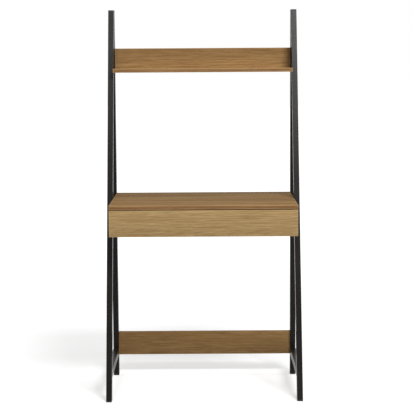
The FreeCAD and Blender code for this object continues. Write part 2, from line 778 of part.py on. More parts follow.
def roller(name, sign, place):
    """A plastic wheel turned about its axle."""
    body = new_body(name, (f"{sign} * {ROLLER_PLANE}", *place))
    half = "roller_width / 2"
    rim = "roller_diameter / 2"
    hole = "axle_diameter / 2 + bore_play"
    profile = [
        (f"-{half}", hole),
        (half, hole),
        (half, f"{rim} - roller_chamfer"),
        (f"{half} - roller_chamfer", rim),
        (f"-({half} - roller_chamfer)", rim),
        (f"-{half}", f"{rim} - roller_chamfer"),
    ]
    drawing = sketch(body, f"{name}_profile", "XZ_Plane", profile)
    wheel = body.newObject("PartDesign::Revolution", f"{name}_turned")
    wheel.Profile = drawing
    wheel.ReferenceAxis = (drawing, ["H_Axis"])
    node(name, body)


def axle_master():
    """A riveted axle that stands on its runner's web: shoulder, journal and head."""
    shoulder = "runner_gap / 2 - runner_sheet - roller_width / 2 - side_play"
    journal = "roller_width + 2 * side_play"
    base = ("0", "0", "0")
    middle = ("0", "0", shoulder)
    head = ("0", "0", f"{shoulder} + {journal}")
    pieces = [
        rod("axle_shoulder_part", "axle_shoulder", shoulder, base, "+z"),
        rod("axle_journal_part", "axle_diameter", journal, middle, "+z"),
        rod("axle_head_part", "axle_head", "axle_head_height", head, "+z"),
    ]
    return joined("axle_master", pieces)


def runners():
    axle = axle_master()
    case_axles = []
    drawer_axles = []
    for side, sign in SIDES.items():
        case_runner(side, sign)
        drawer_runner(side, sign)
        roller(f"{side}_front_roller", sign, FRONT_ROLLER)
        roller(f"{side}_rear_roller", sign, REAR_ROLLER)
        case_axles.append(((f"{sign} * ({CASE_INNER} - runner_sheet)", *FRONT_ROLLER), inward(sign)))
        drawer_axles.append(((f"{sign} * ({DRAWER_OUTER} + runner_sheet)", *REAR_ROLLER), outward(sign)))
    group("case_roller_axles", axle, case_axles)
    group("drawer_roller_axles", axle, drawer_axles)


# Fasteners, each made once upright at the origin and then copied to its places

def bolt_master(name, reach):
    """A cap screw whose head bears on the inside of the tube's inner wall."""
    base = ("0", "0", "0")
    head = rod(f"{name}_head", "bolt_head", "bolt_head_height", base, "+z")
    shank = rod(f"{name}_shank", "bolt_diameter", f"{reach} + tube_wall", base, "-z")
    socket = doc.addObject("Part::Prism", f"{name}_socket")
    socket.Polygon = 6
    socket.setExpression("Circumradius", bound("bolt_socket / sqrt(3)"))
    socket.setExpression("Height", bound("bolt_socket_depth + overrun"))
    put(socket, ("0", "0", "bolt_head_height - bolt_socket_depth"))
    return cut(f"{name}_master", joined(f"{name}_blank", [head, shank]), [socket])


def ring_master(name, outer, inner, length, aim):
    """A round piece with a hole, either along it or across its middle."""
    body = rod(f"{name}_outer", outer, length, ("0", "0", "0"), "-z")
    if aim == "+z":
        hole = bore(f"{name}_hole", inner, f"{length} + overrun", ("0", "0", "0"), aim)
    else:
        mouth = (f"{outer} / 2", "0", f"-({length}) / 2")
        hole = bore(f"{name}_hole", inner, f"{outer} + overrun", mouth, aim)
    return cut(f"{name}_master", body, [hole])


def hole_plug_master():
    """A thin plastic cup that closes an access hole flush with the tube."""
    cup = rod("hole_plug_outer", "hole_plug_diameter", "hole_plug_length", ("0", "0", "0"), "-z")
    floor = ("0", "0", "-hole_plug_length")
    wide = "hole_plug_diameter - 2 * hole_plug_skin"
    hollow = bore("hole_plug_hollow", wide, "hole_plug_length - hole_plug_skin", floor, "-z")
    return cut("hole_plug_master", cup, [hollow])


def cross(name, width, span, depth, top):
    """Two crossed slots for a screwdriver."""
    levels = (f"{top} - ({depth})", f"{top} + overrun")
    thin = (f"-({width}) / 2", f"({width}) / 2")
    long = (f"-({span}) / 2", f"({span}) / 2")
    return [block(f"{name}_slot_a", thin, long, levels), block(f"{name}_slot_b", long, thin, levels)]


def screw_master(name, length):
    """A countersunk wood screw, its head's face at the origin."""
    base = ("0", "0", "0")
    head = doc.addObject("Part::Cone", f"{name}_head")
    head.setExpression("Radius1", bound("screw_head / 2"))
    head.setExpression("Radius2", bound("screw_diameter / 2"))
    head.setExpression("Height", bound("screw_head_height"))
    turn(head, "-z")
    shank = rod(f"{name}_shank", "screw_diameter", f"{length} - screw_diameter", base, "-z")
    point = doc.addObject("Part::Cone", f"{name}_point")
    point.setExpression("Radius1", bound("screw_diameter / 2"))
    point.Radius2 = 0
    point.setExpression("Height", bound("screw_diameter"))
    turn(point, "-z")
    put(point, ("0", "0", f"-({length} - screw_diameter)"))
    recess = cross(name, "screw_recess_width", "screw_recess_span", "screw_recess_depth", "0")
    return cut(f"{name}_master", joined(f"{name}_blank", [head, shank, point]), recess)


def runner_screw_master():
    """A flat-headed screw that holds a runner, the underside of its head at the origin."""
    base = ("0", "0", "0")
    straight = "runner_screw_length - runner_screw_point"
    head = rod("runner_screw_head_part", "runner_screw_head", "runner_screw_head_height", base, "+z")
    shank = rod("runner_screw_shank", "runner_screw_diameter", straight, base, "-z")
    point = doc.addObject("Part::Cone", "runner_screw_tip")
    point.setExpression("Radius1", bound("runner_screw_diameter / 2"))
    point.Radius2 = 0
    point.setExpression("Height", bound("runner_screw_point"))
    turn(point, "-z")
    put(point, ("0", "0", f"-({straight})"))
    depth = "runner_screw_recess_depth"
    top = "runner_screw_head_height"
    recess = cross("runner_screw", "screw_recess_width", "screw_recess_span", depth, top)
    return cut("runner_screw_master", joined("runner_screw_blank", [head, shank, point]), recess)


def cam_master(name, diameter, thickness, board):
    """A cam lock with its face at the origin, slotted from the middle of the board towards its bolt."""
    base = ("0", "0", "0")
    drum = rod(f"{name}_drum", diameter, thickness, base, "-z")
    room = "(cam_bolt_head / 2 + hole_play)"
    middle = f"-({board}) / 2"
    slot = block(
        f"{name}_slot",
        (f"-({room})", f"({diameter}) / 2 + overrun"),
        (f"-({room})", room),
        (f"{middle} - {room}", f"{middle} + {room}"),
    )
    recess = cross(name, "cam_recess_width", f"({diameter}) / 2", "cam_recess_depth", "0")
    return cut(f"{name}_master", drum, [slot, *recess])


def cam_bolt_master():
    """A cam bolt: thread above the origin, neck and head below it, the head in the middle of the cam."""
    base = ("0", "0", "0")
    head_top = "cam_inset - cam_bolt_head_height / 2"
    head_place = ("0", "0", f"-({head_top})")
    pieces = [
        rod("cam_bolt_thread_part", "cam_bolt_thread", "cam_bolt_thread_length", base, "+z"),
        rod("cam_bolt_neck_part", "cam_bolt_neck", head_top, base, "-z"),
        rod("cam_bolt_head_part", "cam_bolt_head", "cam_bolt_head_height", head_place, "-z"),
    ]
    return joined("cam_bolt_master", pieces)


def cams(name, master, places, half_board):
    """Cam locks in a board's inner face, each turned so that its slot looks along its bolt."""
    copies = []
    for count, (sign, (place, aim)) in enumerate(places):
        copy = doc.addObject("App::Link", f"{name}_copy_{count}")
        copy.LinkedObject = master
        face = FreeCAD.Vector(*AIMS[inward(sign)])
        slot = FreeCAD.Vector(*AIMS[back(aim)])
        copy.Placement.Rotation = FreeCAD.Rotation(slot, face.cross(slot), face, "ZXY")
        put(copy, shifted(shifted(place, aim, "cam_inset"), inward(sign), half_board))
        copies.append(copy)
    compound = doc.addObject("Part::Compound", name)
    compound.Links = copies
    node(name, compound)


def frame_fasteners():
    under_head = f"{INNER} + tube_wall"
    long_bolt = bolt_master("long_bolt", "long_bolt_reach")
    group("long_frame_bolts", long_bolt, both_sides(under_head, LONG_BOLTS))
    short_bolt = bolt_master("short_bolt", "short_bolt_reach")
    group("short_frame_bolts", short_bolt, both_sides(under_head, SHORT_BOLTS))
    clear_bore = "bolt_diameter + 2 * stopper_play"
    insert = ring_master("insert", "insert_diameter", clear_bore, "insert_length", "+z")
    group("threaded_inserts", insert, both_sides(INNER, SHORT_BOLTS))
    barrel = ring_master("barrel", "barrel_diameter", clear_bore, "barrel_length", "+x")
    nuts = []
    for bolts, aim in ((SHELF_BOLTS, "-z"), (BACK_BOARD_BOLTS + STRETCHER_BOLTS, "+y")):
        for place, _ in both_sides(f"{INNER} - barrel_inset", bolts):
            nuts.append((shifted(place, aim, "barrel_length / 2"), aim))
    group("barrel_nuts", barrel, nuts)
    group("hole_plugs", hole_plug_master(), both_sides(f"{INNER} + tube_width", SHORT_BOLTS + LONG_BOLTS))


def each_side(places):
    """The places that a function gives for one side, for both."""
    return [place for sign in SIDES.values() for place in places(sign)]


def board_fasteners():
    bolt = cam_bolt_master()
    case_places = [(sign, place) for sign in SIDES.values() for place in case_cam_places(sign)]
    drawer_places = [(sign, place) for sign in SIDES.values() for place in drawer_cam_places(sign)]
    cam = cam_master("case_cam", "cam_diameter", CAM_THICKNESS, "board")
    cams("case_cams", cam, case_places, "board / 2")
    small_cam = cam_master("drawer_cam", "drawer_cam_diameter", DRAWER_CAM_THICKNESS, "drawer_board")
    cams("drawer_cams", small_cam, drawer_places, "drawer_board / 2")
    group("case_cam_bolts", bolt, [(place, back(aim)) for _, (place, aim) in case_places])
    group("drawer_cam_bolts", bolt, [(place, back(aim)) for _, (place, aim) in drawer_places])
    screw = screw_master("long_screw", "screw_length")
    group("shelf_back_screws", screw, back_board_screw_places())
    group("case_back_screws", screw, each_side(case_screw_places))
    short_screw = screw_master("short_screw", "drawer_screw_length")
    group("drawer_back_screws", short_screw, each_side(drawer_screw_places))
    small_screw = runner_screw_master()
    group("case_runner_screws", small_screw, each_side(runner_screw_places))
    group("drawer_runner_screws", small_screw, each_side(drawer_runner_screw_places))


side_frames()
boards()
drawer_box()
runners()
frame_fasteners()
board_fasteners()
doc.recompute()

# Every object has to be sound before anything is written
for thing in doc.Objects:
    if {"Invalid", "Error"} & set(thing.State):
        raise RuntimeError(f"{thing.Label} failed: {thing.State}")
for part in nodes:
    if part.Shape.isNull() or not part.Shape.isValid():
        raise RuntimeError(f"{part.Label} has no valid shape")

os.makedirs("parts", exist_ok=True)
for part in nodes:
    part.Shape.exportStep(f"parts/{part.Label}.step")
    print(part.Label, len(part.Shape.Solids), round(part.Shape.Volume))
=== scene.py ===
import json
import math
from typing import NamedTuple

import bmesh
import bpy
from mathutils import Matrix, Vector

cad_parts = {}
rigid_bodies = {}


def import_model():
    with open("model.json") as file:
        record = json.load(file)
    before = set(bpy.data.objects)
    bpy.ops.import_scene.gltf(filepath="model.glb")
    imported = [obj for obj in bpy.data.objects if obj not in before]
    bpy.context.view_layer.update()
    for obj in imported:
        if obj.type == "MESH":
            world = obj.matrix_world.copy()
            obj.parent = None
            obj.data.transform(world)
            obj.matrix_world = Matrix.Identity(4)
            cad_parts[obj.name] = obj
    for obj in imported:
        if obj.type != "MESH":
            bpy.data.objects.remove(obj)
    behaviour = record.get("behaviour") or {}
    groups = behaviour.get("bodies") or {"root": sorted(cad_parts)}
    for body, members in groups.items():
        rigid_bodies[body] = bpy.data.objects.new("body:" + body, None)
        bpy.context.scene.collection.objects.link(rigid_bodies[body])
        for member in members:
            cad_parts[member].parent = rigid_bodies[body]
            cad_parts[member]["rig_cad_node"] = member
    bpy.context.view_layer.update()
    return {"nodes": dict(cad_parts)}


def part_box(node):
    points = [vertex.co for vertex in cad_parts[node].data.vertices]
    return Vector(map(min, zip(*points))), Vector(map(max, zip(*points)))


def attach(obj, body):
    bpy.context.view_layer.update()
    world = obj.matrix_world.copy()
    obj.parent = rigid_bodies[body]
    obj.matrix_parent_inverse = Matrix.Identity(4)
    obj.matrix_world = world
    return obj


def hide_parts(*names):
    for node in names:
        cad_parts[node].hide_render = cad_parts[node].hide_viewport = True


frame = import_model()

# Units, directions and tolerances
MM = 0.001
REAR = Vector((0, 1, 0))
DOWN = Vector((0, 0, -1))
RIGHT = Vector((1, 0, 0))
SIDES = ("left", "right")
SHARP_ANGLE = math.radians(32)
BENT_ANGLE = math.radians(40)
FLAT_ANGLE = math.radians(1)
MERGE_DISTANCE = 0.005 * MM
LEVEL_TOLERANCE = 0.05 * MM

# Finishes, as linear colours
OAK_PALE = (0.41, 0.25, 0.104)
OAK_DEEP = (0.265, 0.148, 0.055)
OAK_LATE_WOOD = (0.185, 0.092, 0.032)
# Painted highlight along the boards' edges, where the rounded edging catches the light
OAK_EDGE_HIGHLIGHT = (0.5, 0.33, 0.165)
PAINT_DARK = (0.0085, 0.0066, 0.0056)
PAINT_LIGHT = (0.0115, 0.0092, 0.008)
PAINT_RUBBED = (0.05, 0.048, 0.047)
PLASTIC_DARK = (0.008, 0.008, 0.0085)
PLASTIC_LIGHT = (0.014, 0.014, 0.0145)
PLASTIC_RUBBED = (0.04, 0.04, 0.042)
COATING_PALE = (0.66, 0.66, 0.63)
COATING_DEEP = (0.58, 0.58, 0.555)
COATING_RUBBED = (0.43, 0.43, 0.42)
NYLON_PALE = (0.8, 0.79, 0.74)
NYLON_DEEP = (0.7, 0.685, 0.63)
NYLON_TRACK = (0.5, 0.49, 0.46)
ZINC_PALE = (0.66, 0.67, 0.69)
ZINC_DEEP = (0.5, 0.505, 0.52)
ZINC_YELLOW = (0.62, 0.57, 0.44)
FIBRE_PALE = (0.33, 0.215, 0.115)
FIBRE_DEEP = (0.22, 0.135, 0.068)

# Tones that the oak print is multiplied by
OAK_TONE = (1, 1, 1)
BAND_TONE = (0.72, 0.66, 0.6)
EDGING_TONE = (0.85, 0.8, 0.83)
DESKTOP_TONE = (0.83, 0.85, 0.79)
DRAWER_FRONT_TONE = (1.26, 1.42, 1.58)
DRAWER_BOX_TONE = (1.2, 1.28, 1.35)

# Kinds of node sockets
VECTOR = "NodeSocketVector"
FLOAT = "NodeSocketFloat"
WHOLE = "NodeSocketInt"
SHAPE = "NodeSocketGeometry"
FINISH = "NodeSocketMaterial"

# A mix node's two inputs and its output, for each kind of value
MIX_NUMBERS = (2, 3, 0)
MIX_VECTORS = (4, 5, 1)
MIX_COLOURS = (6, 7, 2)


# Node helpers

def add(tree, kind, inputs=None, **options):
    """Adds a node, sets its options, and fills or links its inputs."""
    node = tree.nodes.new(kind)
    for name, option in options.items():
        setattr(node, name, option)
    for socket, source in (inputs or {}).items():
        fill(tree, node.inputs[socket], source)
    return node


def fill(tree, socket, source):
    """Links a socket to another one, or sets its value."""
    if isinstance(source, bpy.types.NodeSocket):
        tree.links.new(source, socket)
    else:
        socket.default_value = source


def result_of(tree, kind, inputs=None, **options):
    """The first output of a new node."""
    return add(tree, kind, inputs, **options).outputs[0]


def maths(tree, operation, *values):
    """One step of arithmetic on numbers or sockets."""
    return result_of(tree, "ShaderNodeMath", dict(enumerate(values)), operation=operation)


def product(tree, first, second):
    """One number or socket times another."""
    return maths(tree, "MULTIPLY", first, second)


def half(tree, value):
    """Half of a value."""
    return maths(tree, "DIVIDE", value, 2)


def vector_maths(tree, operation, *values):
    """One step of arithmetic on vectors, as a node, because some steps give a number."""
    return add(tree, "ShaderNodeVectorMath", dict(enumerate(values)), operation=operation)


def combined(tree, *values):
    """A vector from three numbers or sockets."""
    return result_of(tree, "ShaderNodeCombineXYZ", dict(enumerate(values)))


def separated(tree, vector):
    """A vector's three numbers, under the names X, Y and Z."""
    return add(tree, "ShaderNodeSeparateXYZ", {0: vector}).outputs


def between(tree, value, low, high, start, end, smooth=True):
    """Moves a value from one range to another and holds it there."""
    inputs = {"Value": value, "From Min": low, "From Max": high, "To Min": start, "To Max": end}
    kind = "SMOOTHSTEP" if smooth else "LINEAR"
    return result_of(tree, "ShaderNodeMapRange", inputs, interpolation_type=kind)


def ramp(tree, value, low, high):
    """How far a value has come from low to high, from 0 to 1."""
    return between(tree, value, low, high, start=0, end=1)


def raised(tree, base, mask, by):
    """A value, raised by some amount where a mask says."""
    return maths(tree, "MULTIPLY_ADD", mask, by, base)


def mixed(tree, factor, first, second, sockets, **options):
    """Mixes two values of one kind."""
    low, high, output = sockets
    inputs = {"Factor": factor, low: first, high: second}
    return add(tree, "ShaderNodeMix", inputs, **options).outputs[output]


def tinted(tree, factor, first, second, mode="MIX"):
    """Mixes two colours, given as numbers or sockets."""
    colours = []
    for colour in (first, second):
        colours.append(colour if isinstance(colour, bpy.types.NodeSocket) else (*colour, 1))
    return mixed(tree, factor, *colours, MIX_COLOURS, data_type="RGBA", blend_type=mode)


def laid_over(tree, mask, colour, second, strength):
    """A second colour over a first one, where a mask says and as strongly as given."""
    return tinted(tree, product(tree, mask, strength), colour, second)


def multiplied(tree, colour, tone):
    """A colour times a tone."""
    return tinted(tree, 1, colour, tone, "MULTIPLY")


def noise(tree, vector, counts, detail=3, roughness=0.5):
    """Noise with as many grains to the metre along each axis as the counts say."""
    scaled = vector_maths(tree, "MULTIPLY", vector, counts).outputs[0]
    inputs = {"Vector": scaled, "Scale": 1, "Detail": detail, "Roughness": roughness}
    return result_of(tree, "ShaderNodeTexNoise", inputs)


def even_noise(tree, vector, count, detail):
    """Noise with the same number of grains to the metre along all axes."""
    return result_of(tree, "ShaderNodeTexNoise", {"Vector": vector, "Scale": count, "Detail": detail})


def interface(tree, inputs, outputs):
    """Names a tree's inputs, with their starting values, and its outputs."""
    for label, kind, start in inputs:
        socket = tree.interface.new_socket(label, in_out="INPUT", socket_type=kind)
        if start is not None:
            socket.default_value = start
    for label, kind in outputs:
        tree.interface.new_socket(label, in_out="OUTPUT", socket_type=kind)
    return tree.nodes.new("NodeGroupInput").outputs, tree.nodes.new("NodeGroupOutput").inputs


# Shared surface effects

# Counts of the oak grain to the metre: along the grain, across it and through the board
DRIFT_COUNTS = (1.8, 7, 7)
SHIVER_COUNTS = (5, 120, 120)
LONG_STREAK_COUNTS = (5, 270, 270)
SHORT_STREAK_COUNTS = (24, 340, 340)
PORE_COUNTS = (24, 900, 900)
BAND_COUNT_ALONG = 0.8

NOISE_MIDDLE = 0.5
LONG_STREAK_SHARE = 0.6
SHIVER_STRENGTH = 0.5
RING_SHARPNESS = 2.2
RING_END = (0.9, 1)
PORE_RANGE = (0.56, 0.7)
EARLY_WOOD = (0, 0.8)
PORES_LEFT_IN_LATE_WOOD = 0.25
RUB_RANGE = (0.98, 0.78)
BROKEN_RANGE = (0.42, 0.68)


def make_oak_grain():
    """Growth rings of a plain-sawn board, streaks, open pores and broad bands.

    The grain runs along X and the board's face looks up Z.
    """
    tree = bpy.data.node_groups.new("oak grain", "ShaderNodeTree")
    given, result = interface(
        tree,
        [
            ("Vector", VECTOR, (0, 0, 0)),
            ("Ring Spacing", FLOAT, 7 * MM),
            ("Heart Depth", FLOAT, 60 * MM),
            ("Heart Tilt", FLOAT, 0.06),
            ("Wander", FLOAT, 16 * MM),
            ("Band Count", FLOAT, 26),
        ],
        [("Rings", FLOAT), ("Streaks", FLOAT), ("Pores", FLOAT), ("Bands", FLOAT)],
    )
    place = given["Vector"]
    parts = separated(tree, place)
    drift = maths(tree, "SUBTRACT", noise(tree, place, DRIFT_COUNTS, detail=2), NOISE_MIDDLE)
    across = maths(tree, "MULTIPLY_ADD", drift, given["Wander"], parts["Y"])
    depth = maths(tree, "MULTIPLY_ADD", parts["X"], given["Heart Tilt"], parts["Z"])
    depth = maths(tree, "ADD", depth, given["Heart Depth"])
    squares = maths(tree, "ADD", maths(tree, "POWER", across, 2), maths(tree, "POWER", depth, 2))
    radius = maths(tree, "SQRT", squares)
    shiver = product(tree, noise(tree, place, SHIVER_COUNTS, detail=4), SHIVER_STRENGTH)
    turns = maths(tree, "ADD", maths(tree, "DIVIDE", radius, given["Ring Spacing"]), shiver)
    ring = maths(tree, "FRACT", turns)
    late_wood = maths(tree, "POWER", ring, RING_SHARPNESS)
    rings = product(tree, late_wood, between(tree, ring, *RING_END, start=1, end=0))
    tree.links.new(rings, result["Rings"])

    long_ones = noise(tree, place, LONG_STREAK_COUNTS, detail=5, roughness=0.55)
    short_ones = noise(tree, place, SHORT_STREAK_COUNTS, detail=3, roughness=0.6)
    streaks = product(tree, long_ones, LONG_STREAK_SHARE)
    streaks = raised(tree, streaks, short_ones, by=1 - LONG_STREAK_SHARE)
    tree.links.new(streaks, result["Streaks"])

    pore = ramp(tree, noise(tree, place, PORE_COUNTS, detail=2), *PORE_RANGE)
    in_early_wood = between(tree, ring, *EARLY_WOOD, start=1, end=PORES_LEFT_IN_LATE_WOOD)
    tree.links.new(product(tree, pore, in_early_wood), result["Pores"])

    band_counts = combined(tree, BAND_COUNT_ALONG, given["Band Count"], given["Band Count"])
    tree.links.new(noise(tree, place, band_counts, detail=2), result["Bands"])
    return tree


def make_board_edges():
    """A mask along a board's edges, fading over a width from each of them."""
    tree = bpy.data.node_groups.new("board edges", "ShaderNodeTree")
    given, result = interface(
        tree,
        [
            ("Vector", VECTOR, (0, 0, 0)),
            ("Low Corner", VECTOR, (0, 0, 0)),
            ("High Corner", VECTOR, (1, 1, 1)),
            ("Width", FLOAT, 2 * MM),
        ],
        [("Mask", FLOAT)],
    )
    from_low = vector_maths(tree, "SUBTRACT", given["Vector"], given["Low Corner"]).outputs[0]
    from_high = vector_maths(tree, "SUBTRACT", given["High Corner"], given["Vector"]).outputs[0]
    near = separated(tree, vector_maths(tree, "MINIMUM", from_low, from_high).outputs[0])
    lesser = maths(tree, "MINIMUM", near["X"], near["Y"])
    greater = maths(tree, "MAXIMUM", near["X"], near["Y"])
    middle = maths(tree, "MAXIMUM", lesser, maths(tree, "MINIMUM", greater, near["Z"]))
    mask = between(tree, middle, 0, given["Width"], start=1, end=0)
    tree.links.new(mask, result["Mask"])
    return tree


def make_fine_texture():
    """The fine skin of a coated or moulded surface: a height for bump, and slow patches of tone."""
    tree = bpy.data.node_groups.new("fine texture", "ShaderNodeTree")
    given, result = interface(
        tree,
        [("Vector", VECTOR, (0, 0, 0)), ("Grains", FLOAT, 600), ("Patches", FLOAT, 9)],
        [("Height", FLOAT), ("Patches", FLOAT)],
    )
    tree.links.new(even_noise(tree, given["Vector"], given["Grains"], detail=2), result["Height"])
    tree.links.new(even_noise(tree, given["Vector"], given["Patches"], detail=4), result["Patches"])
    return tree


def make_edge_rub():
    """A broken mask along the edges of any shape, where handling rubs a coat first."""
    tree = bpy.data.node_groups.new("edge rub", "ShaderNodeTree")
    given, result = interface(
        tree,
        [("Vector", VECTOR, (0, 0, 0)), ("Radius", FLOAT, 2 * MM), ("Patches", FLOAT, 60)],
        [("Mask", FLOAT)],
    )
    rounded = result_of(tree, "ShaderNodeBevel", {"Radius": given["Radius"]}, samples=4)
    facing = add(tree, "ShaderNodeNewGeometry").outputs["True Normal"]
    alike = vector_maths(tree, "DOT_PRODUCT", rounded, facing).outputs["Value"]
    patches = even_noise(tree, given["Vector"], given["Patches"], detail=3)
    mask = product(tree, ramp(tree, alike, *RUB_RANGE), ramp(tree, patches, *BROKEN_RANGE))
    tree.links.new(mask, result["Mask"])
    return tree


OAK_GRAIN = make_oak_grain()
BOARD_EDGES = make_board_edges()
FINE_TEXTURE = make_fine_texture()
EDGE_RUB = make_edge_rub()


def effect(tree, group, **inputs):
    """A shared effect with its own values in one material. Underscores stand for spaces."""
    named = {name.replace("_", " "): source for name, source in inputs.items()}
    node = add(tree, "ShaderNodeGroup", node_tree=group)
    for name, source in named.items():
        fill(tree, node.inputs[name], source)
    return node.outputs


def new_finish(name, constants):
    """A material and its shader, whose plain values are set here, with the place of each point."""
    finish = bpy.data.materials.new(name)
    finish.use_nodes = True
    tree = finish.node_tree
    shader = tree.nodes["Principled BSDF"].inputs
    for socket, constant in constants.items():
        shader[socket].default_value = constant
    return finish, tree, shader, tree.nodes.new("ShaderNodeTexCoord").outputs["Object"]


def bumped(tree, shader, height, distance, strength=1):
    """Feeds a height to the shader's normal."""
    inputs = {"Height": height, "Distance": distance, "Strength": strength}
    tree.links.new(result_of(tree, "ShaderNodeBump", inputs), shader["Normal"])


# Materials

# Ranges of noise that a tone or a mask is drawn from
TONE_RANGE = (0.3, 0.7)
STREAK_RANGE = (0.37, 0.63)
BAND_RANGE = (0.41, 0.6)
TURNED_RANGE = (0.5, 0.8)

PORE_STRENGTH = 0.45
STREAK_HEIGHT = 0.3
# Width and strength of the painted highlight along the boards' edges
EDGE_HIGHLIGHT_WIDTH = 4.4 * MM
EDGE_HIGHLIGHT_STRENGTH = 0.55
SCUFF_STRENGTH = 0.25
COATING_RUB_STRENGTH = 0.8


class Foil(NamedTuple):
    """How the print lies on one board."""
    axes: str  # along the grain, across it and through the board
    shift: tuple  # where the board was cut from the print
    heart: float  # how deep under the face the tree's heart ran
    tilt: float  # how fast the heart rises along the grain
    figure: float  # how strongly the growth rings show
    tone: tuple = OAK_TONE
    bands: float = 26  # broad bands to the metre across the grain
    contrast: float = 0.2  # how strongly the bands show
    fade: tuple = (1, 1)  # painted shade: how light the board is at the low and the high edge, as the light falls across it


# Painted shade across some boards: the desktop darker towards the rear under the shelf, the drawer
# front and stretcher darker towards the bottom, the back board towards the top
FOILS = {
    "desktop": Foil(
        "XYZ", (0.2, 0.33, 0.1), 0.22, 0.04, 0.35, DESKTOP_TONE, bands=17, contrast=1, fade=(1.06, 0.86)
    ),
    "drawer_front": Foil(
        "XZY", (0.1, 0.05, 0), 0.075, -0.11, 0.25, DRAWER_FRONT_TONE, fade=(0.83, 1.03)
    ),
    "upper_shelf": Foil("XYZ", (1.3, -0.2, 0), 0.15, 0.03, 0.3),
    "shelf_back_board": Foil("XZY", (2.2, 0.2, 0), 0.3, 0.02, 0.2, fade=(1.14, 0.79)),
    "rear_stretcher": Foil("XZY", (3.1, 0.03, 0), 0.09, 0.04, 0.25, fade=(0.7, 1.12)),
    "left_case_side": Foil("YZX", (0.4, 0.12, 0), 0.1, 0.08, 0.35),
    "right_case_side": Foil("YZX", (1.7, -0.1, 0), 0.1, 0.08, 0.35),
    "case_back": Foil("XZY", (4.4, 0.1, 0), 0.16, 0.04, 0.35),
    "drawer_left_side": Foil("YZX", (2.9, 0.2, 0), 0.3, 0.02, 0.3, DRAWER_BOX_TONE),
    "drawer_right_side": Foil("YZX", (3.9, 0.2, 0), 0.3, 0.02, 0.3, DRAWER_BOX_TONE),
    "drawer_back": Foil("XZY", (5.5, 0.2, 0), 0.3, 0.02, 0.3, DRAWER_BOX_TONE),
}


def oak_foil(board, foil):
    """Oak-effect foil on the faces of one board and edging strip from one roll on its edges, with
    painted shade and highlight.
    """
    finish, tree, shader, place = new_finish(f"oak foil on {board}", {"Specular IOR Level": 0.12})
    low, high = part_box(board)
    along, across, through = foil.axes
    parts = separated(tree, vector_maths(tree, "SUBTRACT", place, tuple((low + high) / 2)).outputs[0])
    facing = add(tree, "ShaderNodeNewGeometry").outputs["Normal"]
    normal = separated(tree, vector_maths(tree, "ABSOLUTE", facing).outputs[0])

    # The edging on the board's ends runs along the ends
    on_face = combined(tree, parts[along], parts[across], parts[through])
    on_end = combined(tree, parts[across], parts[along], parts[through])
    at_end = ramp(tree, normal[along], *TURNED_RANGE)
    turned = mixed(tree, at_end, on_face, on_end, MIX_VECTORS, data_type="VECTOR")
    grain = effect(
        tree,
        OAK_GRAIN,
        Vector=vector_maths(tree, "ADD", turned, foil.shift).outputs[0],
        Heart_Depth=foil.heart,
        Heart_Tilt=foil.tilt,
        Band_Count=foil.bands,
    )
    # A mask along the board's edges, for a painted highlight where the edging catches the light
    corners = {"Low_Corner": low, "High_Corner": high}
    edge = effect(tree, BOARD_EDGES, Vector=place, Width=EDGE_HIGHLIGHT_WIDTH, **corners)["Mask"]

    colour = tinted(tree, ramp(tree, grain["Streaks"], *STREAK_RANGE), OAK_DEEP, OAK_PALE)
    colour = laid_over(tree, grain["Rings"], colour, OAK_LATE_WOOD, foil.figure)
    colour = laid_over(tree, grain["Pores"], colour, OAK_LATE_WOOD, PORE_STRENGTH)
    bands = between(tree, grain["Bands"], *BAND_RANGE, start=0, end=foil.contrast)
    colour = tinted(tree, bands, colour, BAND_TONE, "MULTIPLY")
    # Painted shade: the colour darkens from one edge of the board to the other, standing in for how the
    # light falls across it
    half_width = (high - low)["XYZ".index(across)] / 2
    fade = between(tree, parts[across], -half_width, half_width, *foil.fade, smooth=False)
    colour = multiplied(tree, colour, fade)
    on_edging = between(tree, normal[through], *TURNED_RANGE, start=1, end=0)
    colour = multiplied(tree, colour, tinted(tree, on_edging, foil.tone, EDGING_TONE))
    # Painted highlight along the board's edges
    colour = laid_over(tree, edge, colour, OAK_EDGE_HIGHLIGHT, EDGE_HIGHLIGHT_STRENGTH)
    tree.links.new(colour, shader["Base Color"])

    rough = between(tree, grain["Streaks"], low=0.25, high=0.75, start=0.78, end=0.68)
    tree.links.new(raised(tree, rough, grain["Pores"], by=0.18), shader["Roughness"])
    height = product(tree, grain["Streaks"], STREAK_HEIGHT)
    height = maths(tree, "SUBTRACT", height, grain["Pores"])
    bumped(tree, shader, height, distance=0.06 * MM)
    return finish


def patched(tree, skin, first, second, tones=TONE_RANGE):
    """Two colours in slow patches."""
    return tinted(tree, ramp(tree, skin["Patches"], *tones), first, second)


def powder_coat():
    """Satin charcoal powder coat on the steel tubes."""
    finish, tree, shader, place = new_finish("charcoal powder coat", {"Specular IOR Level": 0.13})
    skin = effect(tree, FINE_TEXTURE, Vector=place, Grains=520, Patches=7)
    rub = effect(tree, EDGE_RUB, Vector=place, Radius=1.6 * MM, Patches=70)["Mask"]
    colour = patched(tree, skin, PAINT_DARK, PAINT_LIGHT)
    colour = laid_over(tree, rub, colour, PAINT_RUBBED, strength=0.5)
    tree.links.new(colour, shader["Base Color"])
    rough = between(tree, skin["Patches"], *TONE_RANGE, start=0.27, end=0.34)
    tree.links.new(rough, shader["Roughness"])
    bumped(tree, shader, skin["Height"], distance=0.05 * MM, strength=0.6)
    return finish


